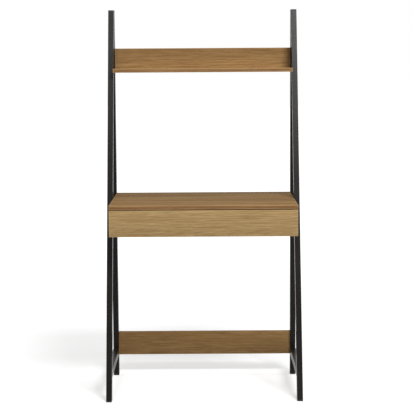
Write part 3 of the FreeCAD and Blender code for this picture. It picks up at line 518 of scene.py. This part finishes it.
def moulded_plastic():
    """Black moulded plastic with a fine spark-eroded grain."""
    finish, tree, shader, place = new_finish("black moulded plastic", {"Specular IOR Level": 0.4})
    skin = effect(tree, FINE_TEXTURE, Vector=place, Grains=1700, Patches=40)
    rub = effect(tree, EDGE_RUB, Vector=place, Radius=1.2 * MM, Patches=110)["Mask"]
    colour = patched(tree, skin, PLASTIC_DARK, PLASTIC_LIGHT)
    colour = laid_over(tree, rub, colour, PLASTIC_RUBBED, strength=0.6)
    tree.links.new(colour, shader["Base Color"])
    rough = between(tree, skin["Height"], *TONE_RANGE, start=0.46, end=0.6)
    tree.links.new(rough, shader["Roughness"])
    bumped(tree, shader, skin["Height"], distance=0.04 * MM)
    return finish


def epoxy_coat():
    """Pale epoxy on the runners' folded sheet, dulled where metal slides or rolls."""
    finish, tree, shader, place = new_finish("pale epoxy coat", {"Specular IOR Level": 0.5})
    skin = effect(tree, FINE_TEXTURE, Vector=place, Grains=380, Patches=14)
    rub = effect(tree, EDGE_RUB, Vector=place, Radius=1 * MM, Patches=90)["Mask"]
    scuffs = ramp(tree, noise(tree, place, counts=(900, 14, 900)), low=0.56, high=0.72)
    scuffed = product(tree, scuffs, SCUFF_STRENGTH)
    worn = maths(tree, "MAXIMUM", scuffed, product(tree, rub, COATING_RUB_STRENGTH))
    colour = tinted(tree, worn, patched(tree, skin, COATING_PALE, COATING_DEEP), COATING_RUBBED)
    tree.links.new(colour, shader["Base Color"])
    tree.links.new(raised(tree, base=0.32, mask=scuffs, by=0.15), shader["Roughness"])
    bumped(tree, shader, skin["Height"], distance=0.06 * MM, strength=0.6)
    return finish


def nylon():
    """Off-white nylon of the rollers, with faint turning marks."""
    constants = {"Subsurface Weight": 0.12, "Subsurface Scale": 2 * MM}
    finish, tree, shader, place = new_finish("white nylon", constants)
    skin = effect(tree, FINE_TEXTURE, Vector=place, Grains=900, Patches=160)
    marks = noise(tree, place, counts=(2600, 60, 60), detail=2)
    tracks = between(tree, marks, low=0.55, high=0.75, start=0, end=0.3)
    colour = tinted(tree, tracks, patched(tree, skin, NYLON_PALE, NYLON_DEEP), NYLON_TRACK)
    tree.links.new(colour, shader["Base Color"])
    rough = between(tree, skin["Height"], *TONE_RANGE, start=0.38, end=0.52)
    tree.links.new(rough, shader["Roughness"])
    bumped(tree, shader, marks, distance=0.03 * MM)
    return finish


def zinc_plate():
    """Zinc-plated steel, slightly yellowed in patches and scratched."""
    finish, tree, shader, place = new_finish("zinc plate", {"Metallic": 1})
    skin = effect(tree, FINE_TEXTURE, Vector=place, Grains=1500, Patches=170)
    scratches = noise(tree, place, counts=(300, 4200, 300), detail=2)
    scratches = ramp(tree, scratches, low=0.58, high=0.72)
    stains = noise(tree, place, counts=(210, 210, 210))
    stains = between(tree, stains, low=0.5, high=0.75, start=0, end=0.5)
    colour = patched(tree, skin, ZINC_PALE, ZINC_DEEP, tones=(0.35, 0.65))
    tree.links.new(tinted(tree, stains, colour, ZINC_YELLOW), shader["Base Color"])
    tree.links.new(raised(tree, base=0.27, mask=scratches, by=0.2), shader["Roughness"])
    bumped(tree, shader, skin["Height"], distance=0.015 * MM)
    return finish


def hardboard():
    """The drawer's thin bottom: pressed fibre with a plain printed face."""
    finish, tree, shader, place = new_finish("printed hardboard", {"Specular IOR Level": 0.3})
    grain = effect(tree, OAK_GRAIN, Vector=place, Heart_Depth=0.5, Heart_Tilt=0.02)
    skin = effect(tree, FINE_TEXTURE, Vector=place, Grains=800, Patches=30)
    facing = add(tree, "ShaderNodeNewGeometry").outputs["Normal"]
    printed = ramp(tree, separated(tree, facing)["Z"], low=0.4, high=0.6)
    fibre = tinted(tree, ramp(tree, skin["Height"], *TONE_RANGE), FIBRE_DEEP, FIBRE_PALE)
    oak_print = tinted(tree, grain["Streaks"], OAK_DEEP, OAK_PALE)
    oak_print = laid_over(tree, grain["Rings"], oak_print, OAK_LATE_WOOD, strength=0.4)
    tree.links.new(tinted(tree, printed, fibre, oak_print), shader["Base Color"])
    tree.links.new(between(tree, printed, 0, 1, start=0.8, end=0.5), shader["Roughness"])
    bumped(tree, shader, skin["Height"], distance=0.08 * MM, strength=0.5)
    return finish


# Meshes

ROUND_SEGMENTS = 3


def merged(node):
    """A shape editor holding a copy of a node, with its loose triangles joined."""
    shape = bmesh.new()
    shape.from_mesh(frame["nodes"][node].data)
    bmesh.ops.remove_doubles(shape, verts=shape.verts, dist=MERGE_DISTANCE)
    return shape


def solids(node):
    """The lowest and highest corners of each separate solid in a node."""
    shape = merged(node)
    waiting = set(shape.verts)
    corners = []
    while waiting:
        front = [waiting.pop()]
        found = []
        while front:
            vertex = front.pop()
            found.append(vertex.co.copy())
            for edge in vertex.link_edges:
                other = edge.other_vert(vertex)
                if other in waiting:
                    waiting.remove(other)
                    front.append(other)
        low = Vector(min(place[axis] for place in found) for axis in range(3))
        high = Vector(max(place[axis] for place in found) for axis in range(3))
        corners.append((low, high))
    shape.free()
    return sorted(corners, key=lambda pair: tuple(pair[0]))


def in_scene(name, data):
    """A new object in the scene."""
    thing = bpy.data.objects.new(name, data)
    bpy.context.scene.collection.objects.link(thing)
    return thing


def piece(name, mesh, body, slot, *nodes):
    """Puts a finished mesh in the scene on its body, in the place of the nodes that it stands for."""
    thing = in_scene(name, mesh)
    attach(thing, body)
    if nodes:
        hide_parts(*nodes)


def plain_mesh(thing, name):
    """What an object's modifiers give, as a mesh of its own with clean normals. The object goes."""
    bpy.context.view_layer.update()
    evaluated = thing.evaluated_get(bpy.context.evaluated_depsgraph_get())
    mesh = bpy.data.meshes.new_from_object(evaluated)
    mesh.name = name
    source = thing.data
    thing.modifiers.clear()
    bpy.data.objects.remove(thing)
    bpy.data.meshes.remove(source)
    shape = bmesh.new()
    shape.from_mesh(mesh)
    bmesh.ops.remove_doubles(shape, verts=shape.verts, dist=MERGE_DISTANCE)
    bmesh.ops.recalc_face_normals(shape, faces=shape.faces)
    shape.to_mesh(mesh)
    shape.free()
    mesh.shade_smooth()
    mesh.set_sharp_from_angle(angle=SHARP_ANGLE)
    return mesh


def softened(node, name, finish, width, low_width=None):
    """A node's own shape with its sharp edges rounded, as folding or moulding leaves them.

    The edges round its lowest face can have a rounding of their own.
    """
    shape = merged(node)
    bmesh.ops.dissolve_limit(shape, angle_limit=FLAT_ANGLE, verts=shape.verts, edges=shape.edges)
    low_width = low_width or width
    widest = max(width, low_width)
    lowest = min(vertex.co.z for vertex in shape.verts)
    weights = shape.edges.layers.float.new("bevel_weight_edge")
    for edge in shape.edges:
        if edge.calc_face_angle(0) > BENT_ANGLE:
            on_floor = all(vertex.co.z < lowest + MERGE_DISTANCE for vertex in edge.verts)
            edge[weights] = (low_width if on_floor else width) / widest
    mesh = bpy.data.meshes.new(name)
    shape.to_mesh(mesh)
    shape.free()
    mesh.materials.clear()
    mesh.materials.append(finish)
    thing = in_scene(name, mesh)
    rounding = thing.modifiers.new("rounding", "BEVEL")
    rounding.width = widest
    rounding.segments = ROUND_SEGMENTS
    rounding.limit_method = "WEIGHT"
    rounding.use_clamp_overlap = True
    return plain_mesh(thing, name)


# Geometry trees for what repeats

UPSIDE_DOWN = (math.pi, 0, 0)
ALONG_X = (0, math.pi / 2, 0)
PLUG_RINGS = 25
THREAD_STEPS = 20
THREAD_CORNERS = 4
BORE_SIDES = 32
BEAD_SIDES = 14
STEPS_IN_RIPPLE = 6
BEAD_TAPER = (-0.02, 0.16)
TURN_SEED = 7


def shape_tree(name, inputs):
    """A tree that makes a shape from places, with named sizes and a finish."""
    tree = bpy.data.node_groups.new(name, "GeometryNodeTree")
    sockets = [("Places", SHAPE, None), *inputs, ("Finish", FINISH, None)]
    given, result = interface(tree, sockets, [("Shape", SHAPE)])
    return tree, given, result


def finish_shape(tree, given, result, shape):
    """Realises a tree's shape, gives it its finish and puts it out."""
    realised = result_of(tree, "GeometryNodeRealizeInstances", {0: shape})
    inputs = {"Geometry": realised, "Material": given["Finish"]}
    tree.links.new(result_of(tree, "GeometryNodeSetMaterial", inputs), result["Shape"])


def spin_of(tree, seed):
    """A turn round the upright axis, drawn for each place."""
    node = tree.nodes.new("FunctionNodeRandomValue")
    values = {"Min_001": 0, "Max_001": math.tau, "Seed": seed}
    for socket in node.inputs:
        if socket.identifier in values:
            socket.default_value = values[socket.identifier]
    inputs = {"Axis": (0, 0, 1), "Angle": node.outputs[1]}
    return result_of(tree, "FunctionNodeAxisAngleToRotation", inputs)


def copies(tree, given, result, master, turn_seed=None):
    """Sets a copy of a shape on each place, along its aim, and turned by chance if a seed is given."""
    inputs = {"Name": "aim"}
    aim = result_of(tree, "GeometryNodeInputNamedAttribute", inputs, data_type="FLOAT_VECTOR")
    facing = result_of(tree, "FunctionNodeAlignRotationToVector", {"Vector": aim}, axis="Z")
    if turn_seed:
        inputs = {0: facing, 1: spin_of(tree, turn_seed)}
        facing = result_of(tree, "FunctionNodeRotateRotation", inputs, rotation_space="LOCAL")
    inputs = {"Points": given["Places"], "Instance": master, "Rotation": facing}
    finish_shape(tree, given, result, result_of(tree, "GeometryNodeInstanceOnPoints", inputs))


def moved_up(tree, shape, height):
    """A shape moved along its own upright axis."""
    inputs = {"Geometry": shape, "Translation": combined(tree, 0, 0, height)}
    return result_of(tree, "GeometryNodeTransform", inputs)


def moved_down(tree, shape, depth):
    """A shape moved down its own upright axis."""
    return moved_up(tree, shape, product(tree, depth, -1))


def turned_by(tree, shape, rotation):
    """A shape turned about its own middle."""
    return result_of(tree, "GeometryNodeTransform", {"Geometry": shape, "Rotation": rotation})


def block(tree, *sizes):
    """A box about its own middle."""
    return result_of(tree, "GeometryNodeMeshCube", {"Size": combined(tree, *sizes)})


def cylinder(tree, sides, radius, depth):
    """An upright cylinder about its own middle."""
    inputs = {"Vertices": sides, "Radius": radius, "Depth": depth}
    return result_of(tree, "GeometryNodeMeshCylinder", inputs)


def cone(tree, sides, top, bottom, depth):
    """An upright cone that stands on its own origin."""
    inputs = {"Vertices": sides, "Radius Top": top, "Radius Bottom": bottom, "Depth": depth}
    return result_of(tree, "GeometryNodeMeshCone", inputs)


def joined(tree, *shapes):
    """Shapes as one, with no cut between them."""
    node = tree.nodes.new("GeometryNodeJoinGeometry")
    for shape in shapes:
        tree.links.new(shape, node.inputs[0])
    return node.outputs[0]


def carved(tree, operation, inputs, *shapes):
    """An exact cut or union with some shapes."""
    node = add(tree, "GeometryNodeMeshBoolean", inputs, solver="EXACT", operation=operation)
    for shape in shapes:
        tree.links.new(shape, node.inputs["Mesh 2"])
    return node.outputs[0]


def make_plug_tree():
    """A round moulded plug: a low crown above its place and a body below, as one rounded solid."""
    tree, given, result = shape_tree(
        "hole plug",
        [
            ("Diameter", FLOAT, 10.8 * MM),
            ("Crown", FLOAT, 0.8 * MM),
            ("Depth", FLOAT, 4 * MM),
            ("Fullness", FLOAT, 5.0),
            ("Sides", WHOLE, 40),
        ],
    )
    inputs = {"Size X": 1, "Size Y": 1, "Vertices X": given["Sides"], "Vertices Y": PLUG_RINGS}
    grid = result_of(tree, "GeometryNodeMeshGrid", inputs)
    parts = separated(tree, result_of(tree, "GeometryNodeInputPosition"))
    around = product(tree, parts["X"], math.tau)
    down = product(tree, parts["Y"], math.pi)
    power = maths(tree, "DIVIDE", 2, given["Fullness"])
    level = maths(tree, "SINE", down)
    height = maths(tree, "POWER", maths(tree, "ABSOLUTE", level), power)
    reach = maths(tree, "POWER", maths(tree, "MAXIMUM", maths(tree, "COSINE", down), 0), power)
    radius = product(tree, reach, half(tree, given["Diameter"]))
    above = maths(tree, "GREATER_THAN", level, 0)
    extent = mixed(tree, above, product(tree, given["Depth"], -1), given["Crown"], MIX_NUMBERS)
    position = combined(
        tree,
        product(tree, radius, maths(tree, "COSINE", around)),
        product(tree, radius, maths(tree, "SINE", around)),
        product(tree, height, extent),
    )
    shell = result_of(tree, "GeometryNodeSetPosition", {"Geometry": grid, "Position": position})
    inputs = {"Geometry": shell, "Distance": MERGE_DISTANCE}
    copies(tree, given, result, result_of(tree, "GeometryNodeMergeByDistance", inputs))
    return tree


def make_screw_tree():
    """A screw with its head's face at the place: cross recess, shank with rolled thread, and point."""
    tree, given, result = shape_tree(
        "cross-recess screw",
        [
            ("Face Diameter", FLOAT, 8 * MM),
            ("Seat Diameter", FLOAT, 4 * MM),
            ("Head Height", FLOAT, 2.4 * MM),
            ("Shank Diameter", FLOAT, 4 * MM),
            ("Length", FLOAT, 42 * MM),
            ("Point", FLOAT, 4 * MM),
            ("Thread Pitch", FLOAT, 1.8 * MM),
            ("Thread Height", FLOAT, 0.35 * MM),
            ("Recess Width", FLOAT, 1.1 * MM),
            ("Recess Span", FLOAT, 4 * MM),
            ("Recess Depth", FLOAT, 1.5 * MM),
            ("Sides", WHOLE, 32),
        ],
    )
    sides = given["Sides"]
    seat, face = half(tree, given["Seat Diameter"]), half(tree, given["Face Diameter"])
    head = turned_by(tree, cone(tree, sides, seat, face, given["Head Height"]), UPSIDE_DOWN)
    width, reach = given["Recess Width"], given["Recess Span"]
    depth = product(tree, given["Recess Depth"], 2)
    cross = joined(tree, block(tree, width, reach, depth), block(tree, reach, width, depth))
    head = carved(tree, "DIFFERENCE", {"Mesh 1": head, "Self Intersection": True}, cross)

    radius = half(tree, given["Shank Diameter"])
    straight = maths(tree, "SUBTRACT", given["Length"], given["Point"])
    straight = maths(tree, "SUBTRACT", straight, given["Head Height"])
    middle = maths(tree, "ADD", given["Head Height"], half(tree, straight))
    shank = moved_down(tree, cylinder(tree, sides, radius, straight), middle)
    shank_end = maths(tree, "SUBTRACT", given["Point"], given["Length"])
    point = turned_by(tree, cone(tree, sides, 0, radius, given["Point"]), UPSIDE_DOWN)
    point = moved_up(tree, point, shank_end)

    inputs = {
        "Resolution": THREAD_STEPS,
        "Rotations": maths(tree, "DIVIDE", straight, given["Thread Pitch"]),
        "Start Radius": radius,
        "End Radius": radius,
        "Height": straight,
    }
    helix = result_of(tree, "GeometryNodeCurveSpiral", inputs)
    inputs = {"Resolution": THREAD_CORNERS, "Radius": given["Thread Height"]}
    ridge = result_of(tree, "GeometryNodeCurvePrimitiveCircle", inputs)
    inputs = {"Curve": helix, "Profile Curve": ridge, "Fill Caps": True}
    thread = moved_up(tree, result_of(tree, "GeometryNodeCurveToMesh", inputs), shank_end)
    copies(tree, given, result, joined(tree, head, shank, point, thread), TURN_SEED)
    return tree


def make_barrel_tree():
    """A barrel nut seen end on, with a screwdriver slot in its face and the bore across it."""
    tree, given, result = shape_tree(
        "barrel nut",
        [
            ("Diameter", FLOAT, 10 * MM),
            ("Length", FLOAT, 12 * MM),
            ("Chamfer", FLOAT, 0.5 * MM),
            ("Bore", FLOAT, 6.4 * MM),
            ("Slot Width", FLOAT, 1.6 * MM),
            ("Slot Depth", FLOAT, 1.6 * MM),
            ("Sides", WHOLE, 48),
        ],
    )
    sides, chamfer = given["Sides"], given["Chamfer"]
    radius = half(tree, given["Diameter"])
    inner = maths(tree, "SUBTRACT", radius, chamfer)
    straight = maths(tree, "SUBTRACT", given["Length"], chamfer)
    rim = moved_down(tree, cone(tree, sides, inner, radius, chamfer), chamfer)
    middle = maths(tree, "ADD", chamfer, half(tree, straight))
    body = moved_down(tree, cylinder(tree, sides, radius, straight), middle)
    drum = carved(tree, "UNION", {"Self Intersection": True}, rim, body)

    through = product(tree, given["Diameter"], 2)
    slot = block(tree, through, given["Slot Width"], product(tree, given["Slot Depth"], 2))
    hole = turned_by(tree, cylinder(tree, BORE_SIDES, half(tree, given["Bore"]), through), ALONG_X)
    hole = moved_up(tree, hole, maths(tree, "DIVIDE", given["Length"], -2))
    copies(tree, given, result, carved(tree, "DIFFERENCE", {"Mesh 1": drum}, slot, hole))
    return tree


def make_weld_tree():
    """A painted weld bead along each line, rippled as it was laid and drawn in at both ends."""
    tree, given, result = shape_tree(
        "weld bead",
        [("Width", FLOAT, 5 * MM), ("Ripple Pitch", FLOAT, 1.6 * MM), ("Ripple Depth", FLOAT, 0.09)],
    )
    lines = result_of(tree, "GeometryNodeMeshToCurve", {0: given["Places"]})
    step = maths(tree, "DIVIDE", given["Ripple Pitch"], STEPS_IN_RIPPLE)
    inputs = {"Curve": lines, "Length": step}
    lines = result_of(tree, "GeometryNodeResampleCurve", inputs, mode="LENGTH")
    along = tree.nodes.new("GeometryNodeSplineParameter").outputs
    beat = product(tree, maths(tree, "DIVIDE", along["Length"], given["Ripple Pitch"]), math.tau)
    ripple = maths(tree, "MULTIPLY_ADD", maths(tree, "SINE", beat), given["Ripple Depth"], 1)
    nearest_end = maths(tree, "MINIMUM", along["Factor"], maths(tree, "SUBTRACT", 1, along["Factor"]))
    taper = maths(tree, "SQRT", between(tree, nearest_end, *BEAD_TAPER, start=0, end=1, smooth=False))
    inputs = {"Resolution": BEAD_SIDES, "Radius": half(tree, given["Width"])}
    profile = result_of(tree, "GeometryNodeCurvePrimitiveCircle", inputs)
    scale = product(tree, ripple, taper)
    inputs = {"Curve": lines, "Profile Curve": profile, "Scale": scale, "Fill Caps": True}
    finish_shape(tree, given, result, result_of(tree, "GeometryNodeCurveToMesh", inputs))
    return tree


def grown(name, tree, mesh, finish, sizes):
    """The plain mesh that a tree makes from places or lines, with its named sizes."""
    thing = in_scene(name, mesh)
    modifier = thing.modifiers.new("shape", "NODES")
    modifier.node_group = tree
    sockets = [item for item in tree.interface.items_tree if item.in_out == "INPUT"]
    identifiers = {socket.name: socket.identifier for socket in sockets}
    modifier[identifiers["Finish"]] = finish
    for label, size in sizes.items():
        modifier[identifiers[label]] = size
    return plain_mesh(thing, name)


def aimed_places(name, places):
    """Points with an aim each, as the trees read them."""
    mesh = bpy.data.meshes.new(f"{name} places")
    mesh.from_pydata([place for place, _ in places], [], [])
    aims = mesh.attributes.new("aim", "FLOAT_VECTOR", "POINT")
    for entry, (_, aim) in zip(aims.data, places):
        entry.vector = aim
    return mesh


def faces_of(node, aim):
    """The middle of each solid's outer face, with the face's aim.

    The aim is a direction, or a function that gives one from a solid's middle.
    """
    places = []
    for low, high in solids(node):
        middle = (low + high) / 2
        way = aim(middle) if callable(aim) else aim
        reach = Vector((high - low)[axis] / 2 * way[axis] for axis in range(3))
        places.append((middle + reach, way))
    return places


def outward(middle):
    """The way from the desk's middle to the side that a place is on."""
    return RIGHT if middle.x > 0 else -RIGHT


def inward(middle):
    """The way from a place's side to the desk's middle."""
    return -outward(middle)


def span(node, aim):
    """How long a node's first solid is along an aim, and how wide across it."""
    low, high = solids(node)[0]
    axis = max(range(3), key=lambda count: abs(aim[count]))
    return (high - low)[axis], (high - low)[(axis + 1) % 3]


# Pieces

MOULDED_ROUND = 0.8 * MM
FLOOR_ROUND = 2.2 * MM
FOLD_ROUND = 0.45 * MM
PLUG_CROWN = 0.5 * MM
WELD_INSET = 2.5 * MM
FLAT_HEAD_FACE_SHARE = 0.86
RUNNER_SCREW = {
    "Head Height": 1 * MM,
    "Shank Diameter": 3.1 * MM,
    "Thread Pitch": 1.4 * MM,
    "Thread Height": 0.2 * MM,
    "Point": 3 * MM,
    "Recess Depth": 0.6 * MM,
}


def paint_node(node, finish):
    """Gives a finish to a node."""
    mesh = frame["nodes"][node].data
    mesh.materials.clear()
    mesh.materials.append(finish)


def paint_slot(slot, finish):
    """Gives a finish to every node that the record puts in a slot."""
    for node in frame["nodes"].values():
        if node.data.materials and node.data.materials[0].name.split(".")[0] == slot:
            paint_node(node["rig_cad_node"], finish)


def dress_boards():
    """Oak foil on each board."""
    for board, foil in FOILS.items():
        paint_node(board, oak_foil(board, foil))


def mould_ends(plastic):
    """Feet and top caps with the rounded edges of moulded plastic."""
    ends = {"front_foot": FLOOR_ROUND, "rear_foot": FLOOR_ROUND, "top_cap": MOULDED_ROUND}
    for side in SIDES:
        for end, low_width in ends.items():
            name = f"{side}_{end}_moulding"
            mesh = softened(f"{side}_{end}", name, plastic, MOULDED_ROUND, low_width)
            piece(name, mesh, "desk", "cap_plastic", f"{side}_{end}")


def fold_runners(coat):
    """Runners with the rounded bends of folded sheet."""
    for side in SIDES:
        for member, body in (("case_runner", "desk"), ("drawer_runner", "drawer")):
            name = f"{side}_{member}_fold"
            mesh = softened(f"{side}_{member}", name, coat, FOLD_ROUND)
            piece(name, mesh, body, "runner_coating", f"{side}_{member}")


def plug_holes(plastic):
    """Plugs whose crowns come up to the tubes' faces."""
    places = [(place - PLUG_CROWN * aim, aim) for place, aim in faces_of("hole_plugs", outward)]
    length, diameter = span("hole_plugs", RIGHT)
    sizes = {"Diameter": diameter, "Crown": PLUG_CROWN, "Depth": length - PLUG_CROWN}
    mesh = grown("tube_hole_plugs", make_plug_tree(), aimed_places("plug", places), plastic, sizes)
    piece("tube_hole_plugs", mesh, "desk", "cap_plastic", "hole_plugs")


def drive_screws(zinc):
    """All cross-recess screws: countersunk ones in the boards, flat-headed ones in the runners."""
    tree = make_screw_tree()
    screws = (
        ("shelf_back_screws", REAR, "desk"),
        ("case_back_screws", outward, "desk"),
        ("drawer_back_screws", outward, "drawer"),
        ("case_runner_screws", inward, "desk"),
        ("drawer_runner_screws", DOWN, "drawer"),
    )
    for node, aim, body in screws:
        places = faces_of(node, aim)
        length, diameter = span(node, places[0][1])
        sizes = {"Length": length, "Face Diameter": diameter}
        if "runner" in node:
            sizes["Face Diameter"] = FLAT_HEAD_FACE_SHARE * diameter
            sizes["Seat Diameter"] = diameter
            sizes.update(RUNNER_SCREW)
        name = f"{node}_turned"
        mesh = grown(name, tree, aimed_places(node, places), zinc, sizes)
        piece(name, mesh, body, "fastener_steel", node)


def seat_barrel_nuts(zinc):
    """Barrel nuts with their slots showing under the shelf and behind the upright boards."""
    low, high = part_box("upper_shelf")

    def open_side(middle):
        return DOWN if low.z < middle.z < high.z else REAR

    places = aimed_places("barrel nut", faces_of("barrel_nuts", open_side))
    mesh = grown("slotted_barrel_nuts", make_barrel_tree(), places, zinc, {})
    piece("slotted_barrel_nuts", mesh, "desk", "fastener_steel", "barrel_nuts")


def corners_of(node):
    """The places of all corners of a node."""
    return [vertex.co for vertex in frame["nodes"][node].data.vertices]


def front_end(rail, level):
    """Where a rail's front end lies at a level."""
    return min(corner.y for corner in corners_of(rail) if abs(corner.z - level) < LEVEL_TOLERANCE)


def meeting_height(leg, front):
    """How high a rear leg's front face reaches, which is where the front leg meets it."""
    return max(corner.z for corner in corners_of(leg) if corner.y < front + LEVEL_TOLERANCE)


def weld_frames(paint):
    """Weld beads where each rail meets its legs, above and below, and where the two legs meet."""
    lines = []
    for side in SIDES:
        rail = f"{side}_side_rail"
        low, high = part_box(rail)
        spots = [(front_end(rail, level), level) for level in (low.z, high.z)]
        spots += [(high.y, level) for level in (low.z, high.z)]
        spots.append((high.y, meeting_height(f"{side}_rear_leg", high.y)))
        ends = (low.x + WELD_INSET, high.x - WELD_INSET)
        lines += [[(across, depth, level) for across in ends] for depth, level in spots]
    mesh = bpy.data.meshes.new("weld lines")
    points = [point for line in lines for point in line]
    mesh.from_pydata(points, [(2 * count, 2 * count + 1) for count in range(len(lines))], [])
    mesh = grown("frame_weld_beads", make_weld_tree(), mesh, paint, {})
    piece("frame_weld_beads", mesh, "desk", "frame_paint")


def dress_desk():
    """Every finish and every finer piece."""
    paint = powder_coat()
    plastic = moulded_plastic()
    coat = epoxy_coat()
    zinc = zinc_plate()
    slots = {
        "frame_paint": paint,
        "cap_plastic": plastic,
        "runner_coating": coat,
        "roller_nylon": nylon(),
        "fastener_steel": zinc,
        "hardboard": hardboard(),
    }
    for slot, finish in slots.items():
        paint_slot(slot, finish)
    dress_boards()
    mould_ends(plastic)
    fold_runners(coat)
    plug_holes(plastic)
    drive_screws(zinc)
    seat_barrel_nuts(zinc)
    weld_frames(paint)


# Studio

# The camera is level with the upper shelf and looks slightly down
CAMERA_PLACE = (0.01, -5.0, 1.3036)
CAMERA_PITCH = math.radians(83.46)
CAMERA_ROLL = math.radians(-0.35)
CAMERA_LENS = 112
CAMERA_SENSOR = 36

WHITE = (1, 1, 1, 1)
FLOOR_COLOUR = (0.8, 0.8, 0.8, 1)
FLOOR_REACH = 30
GLOW_SPAN = (0.6, 4)
NEAR_GLOW = 0.55
ALL_ROUND_STRENGTH = 0.15


class Softbox(NamedTuple):
    """A rectangular lamp."""
    place: tuple
    target: tuple
    size: tuple
    power: float


SOFTBOXES = {
    "key softbox": Softbox((1.35, -3.3, 3.7), (0, 0, 0.8), (1.5, 0.9), 150),
    "left fill": Softbox((-0.9, -3.4, 3.6), (0, 0, 0.8), (0.8, 0.8), 22),
    "overhead": Softbox((0, 0.1, 3.6), (0, 0, 0.7), (2.2, 1.6), 30),
}


def seen_directly(tree):
    """One for rays that show the background: straight from the camera, mirrored or through glass."""
    path = tree.nodes.new("ShaderNodeLightPath").outputs
    seen = maths(tree, "MAXIMUM", path["Is Camera Ray"], path["Is Glossy Ray"])
    return maths(tree, "MAXIMUM", seen, path["Is Transmission Ray"])


def build_world():
    """White wherever the background is seen, and a dimmer soft light from all round."""
    world = bpy.data.worlds.new("studio")
    bpy.context.scene.world = world
    world.use_nodes = True
    tree = world.node_tree
    background = tree.nodes["Background"].inputs
    background["Color"].default_value = WHITE
    strength = between(tree, seen_directly(tree), 0, 1, start=ALL_ROUND_STRENGTH, end=1, smooth=False)
    tree.links.new(strength, background["Strength"])


def floor_finish():
    """Pale, white to the camera with the desk's shadow on it, and clear from below."""
    finish = bpy.data.materials.new("studio floor")
    finish.use_nodes = True
    tree = finish.node_tree
    tree.nodes.clear()
    place = tree.nodes.new("ShaderNodeTexCoord").outputs["Object"]
    away = vector_maths(tree, "LENGTH", place).outputs["Value"]
    glow = product(tree, seen_directly(tree), between(tree, away, *GLOW_SPAN, start=NEAR_GLOW, end=1))
    pale = result_of(tree, "ShaderNodeBsdfDiffuse", {"Color": FLOOR_COLOUR})
    lift = result_of(tree, "ShaderNodeEmission", {"Color": WHITE, "Strength": glow})
    above = result_of(tree, "ShaderNodeAddShader", {0: pale, 1: lift})
    clear = result_of(tree, "ShaderNodeBsdfTransparent")
    from_below = add(tree, "ShaderNodeNewGeometry").outputs["Backfacing"]
    whole = result_of(tree, "ShaderNodeMixShader", {0: from_below, 1: above, 2: clear})
    add(tree, "ShaderNodeOutputMaterial", {"Surface": whole})
    return finish


def build_floor():
    """One large flat face under the desk."""
    mesh = bpy.data.meshes.new("studio_floor")
    corners = [(x * FLOOR_REACH, y * FLOOR_REACH, 0) for x, y in ((-1, -1), (1, -1), (1, 1), (-1, 1))]
    mesh.from_pydata(corners, [], [range(len(corners))])
    mesh.materials.append(floor_finish())
    in_scene("studio_floor", mesh)


def hang_softboxes():
    """The lamps, each turned to what it lights."""
    for name, softbox in SOFTBOXES.items():
        light = bpy.data.lights.new(name, "AREA")
        light.shape = "RECTANGLE"
        light.size, light.size_y = softbox.size
        light.energy = softbox.power
        lamp = in_scene(name, light)
        lamp.location = softbox.place
        way = Vector(softbox.target) - Vector(softbox.place)
        lamp.rotation_euler = way.to_track_quat("-Z", "Y").to_euler()


def set_camera():
    """The camera at the photograph's angle."""
    camera = bpy.data.cameras.new("photo camera")
    camera.lens = CAMERA_LENS
    camera.sensor_width = CAMERA_SENSOR
    viewer = in_scene("photo camera", camera)
    viewer.location = CAMERA_PLACE
    turn = Matrix.Rotation(CAMERA_PITCH, 3, "X") @ Matrix.Rotation(CAMERA_ROLL, 3, "Z")
    viewer.rotation_euler = turn.to_euler()
    bpy.context.scene.camera = viewer


dress_desk()
build_world()
build_floor()
hang_softboxes()
set_camera()
bpy.context.scene.view_settings.view_transform = "Standard"
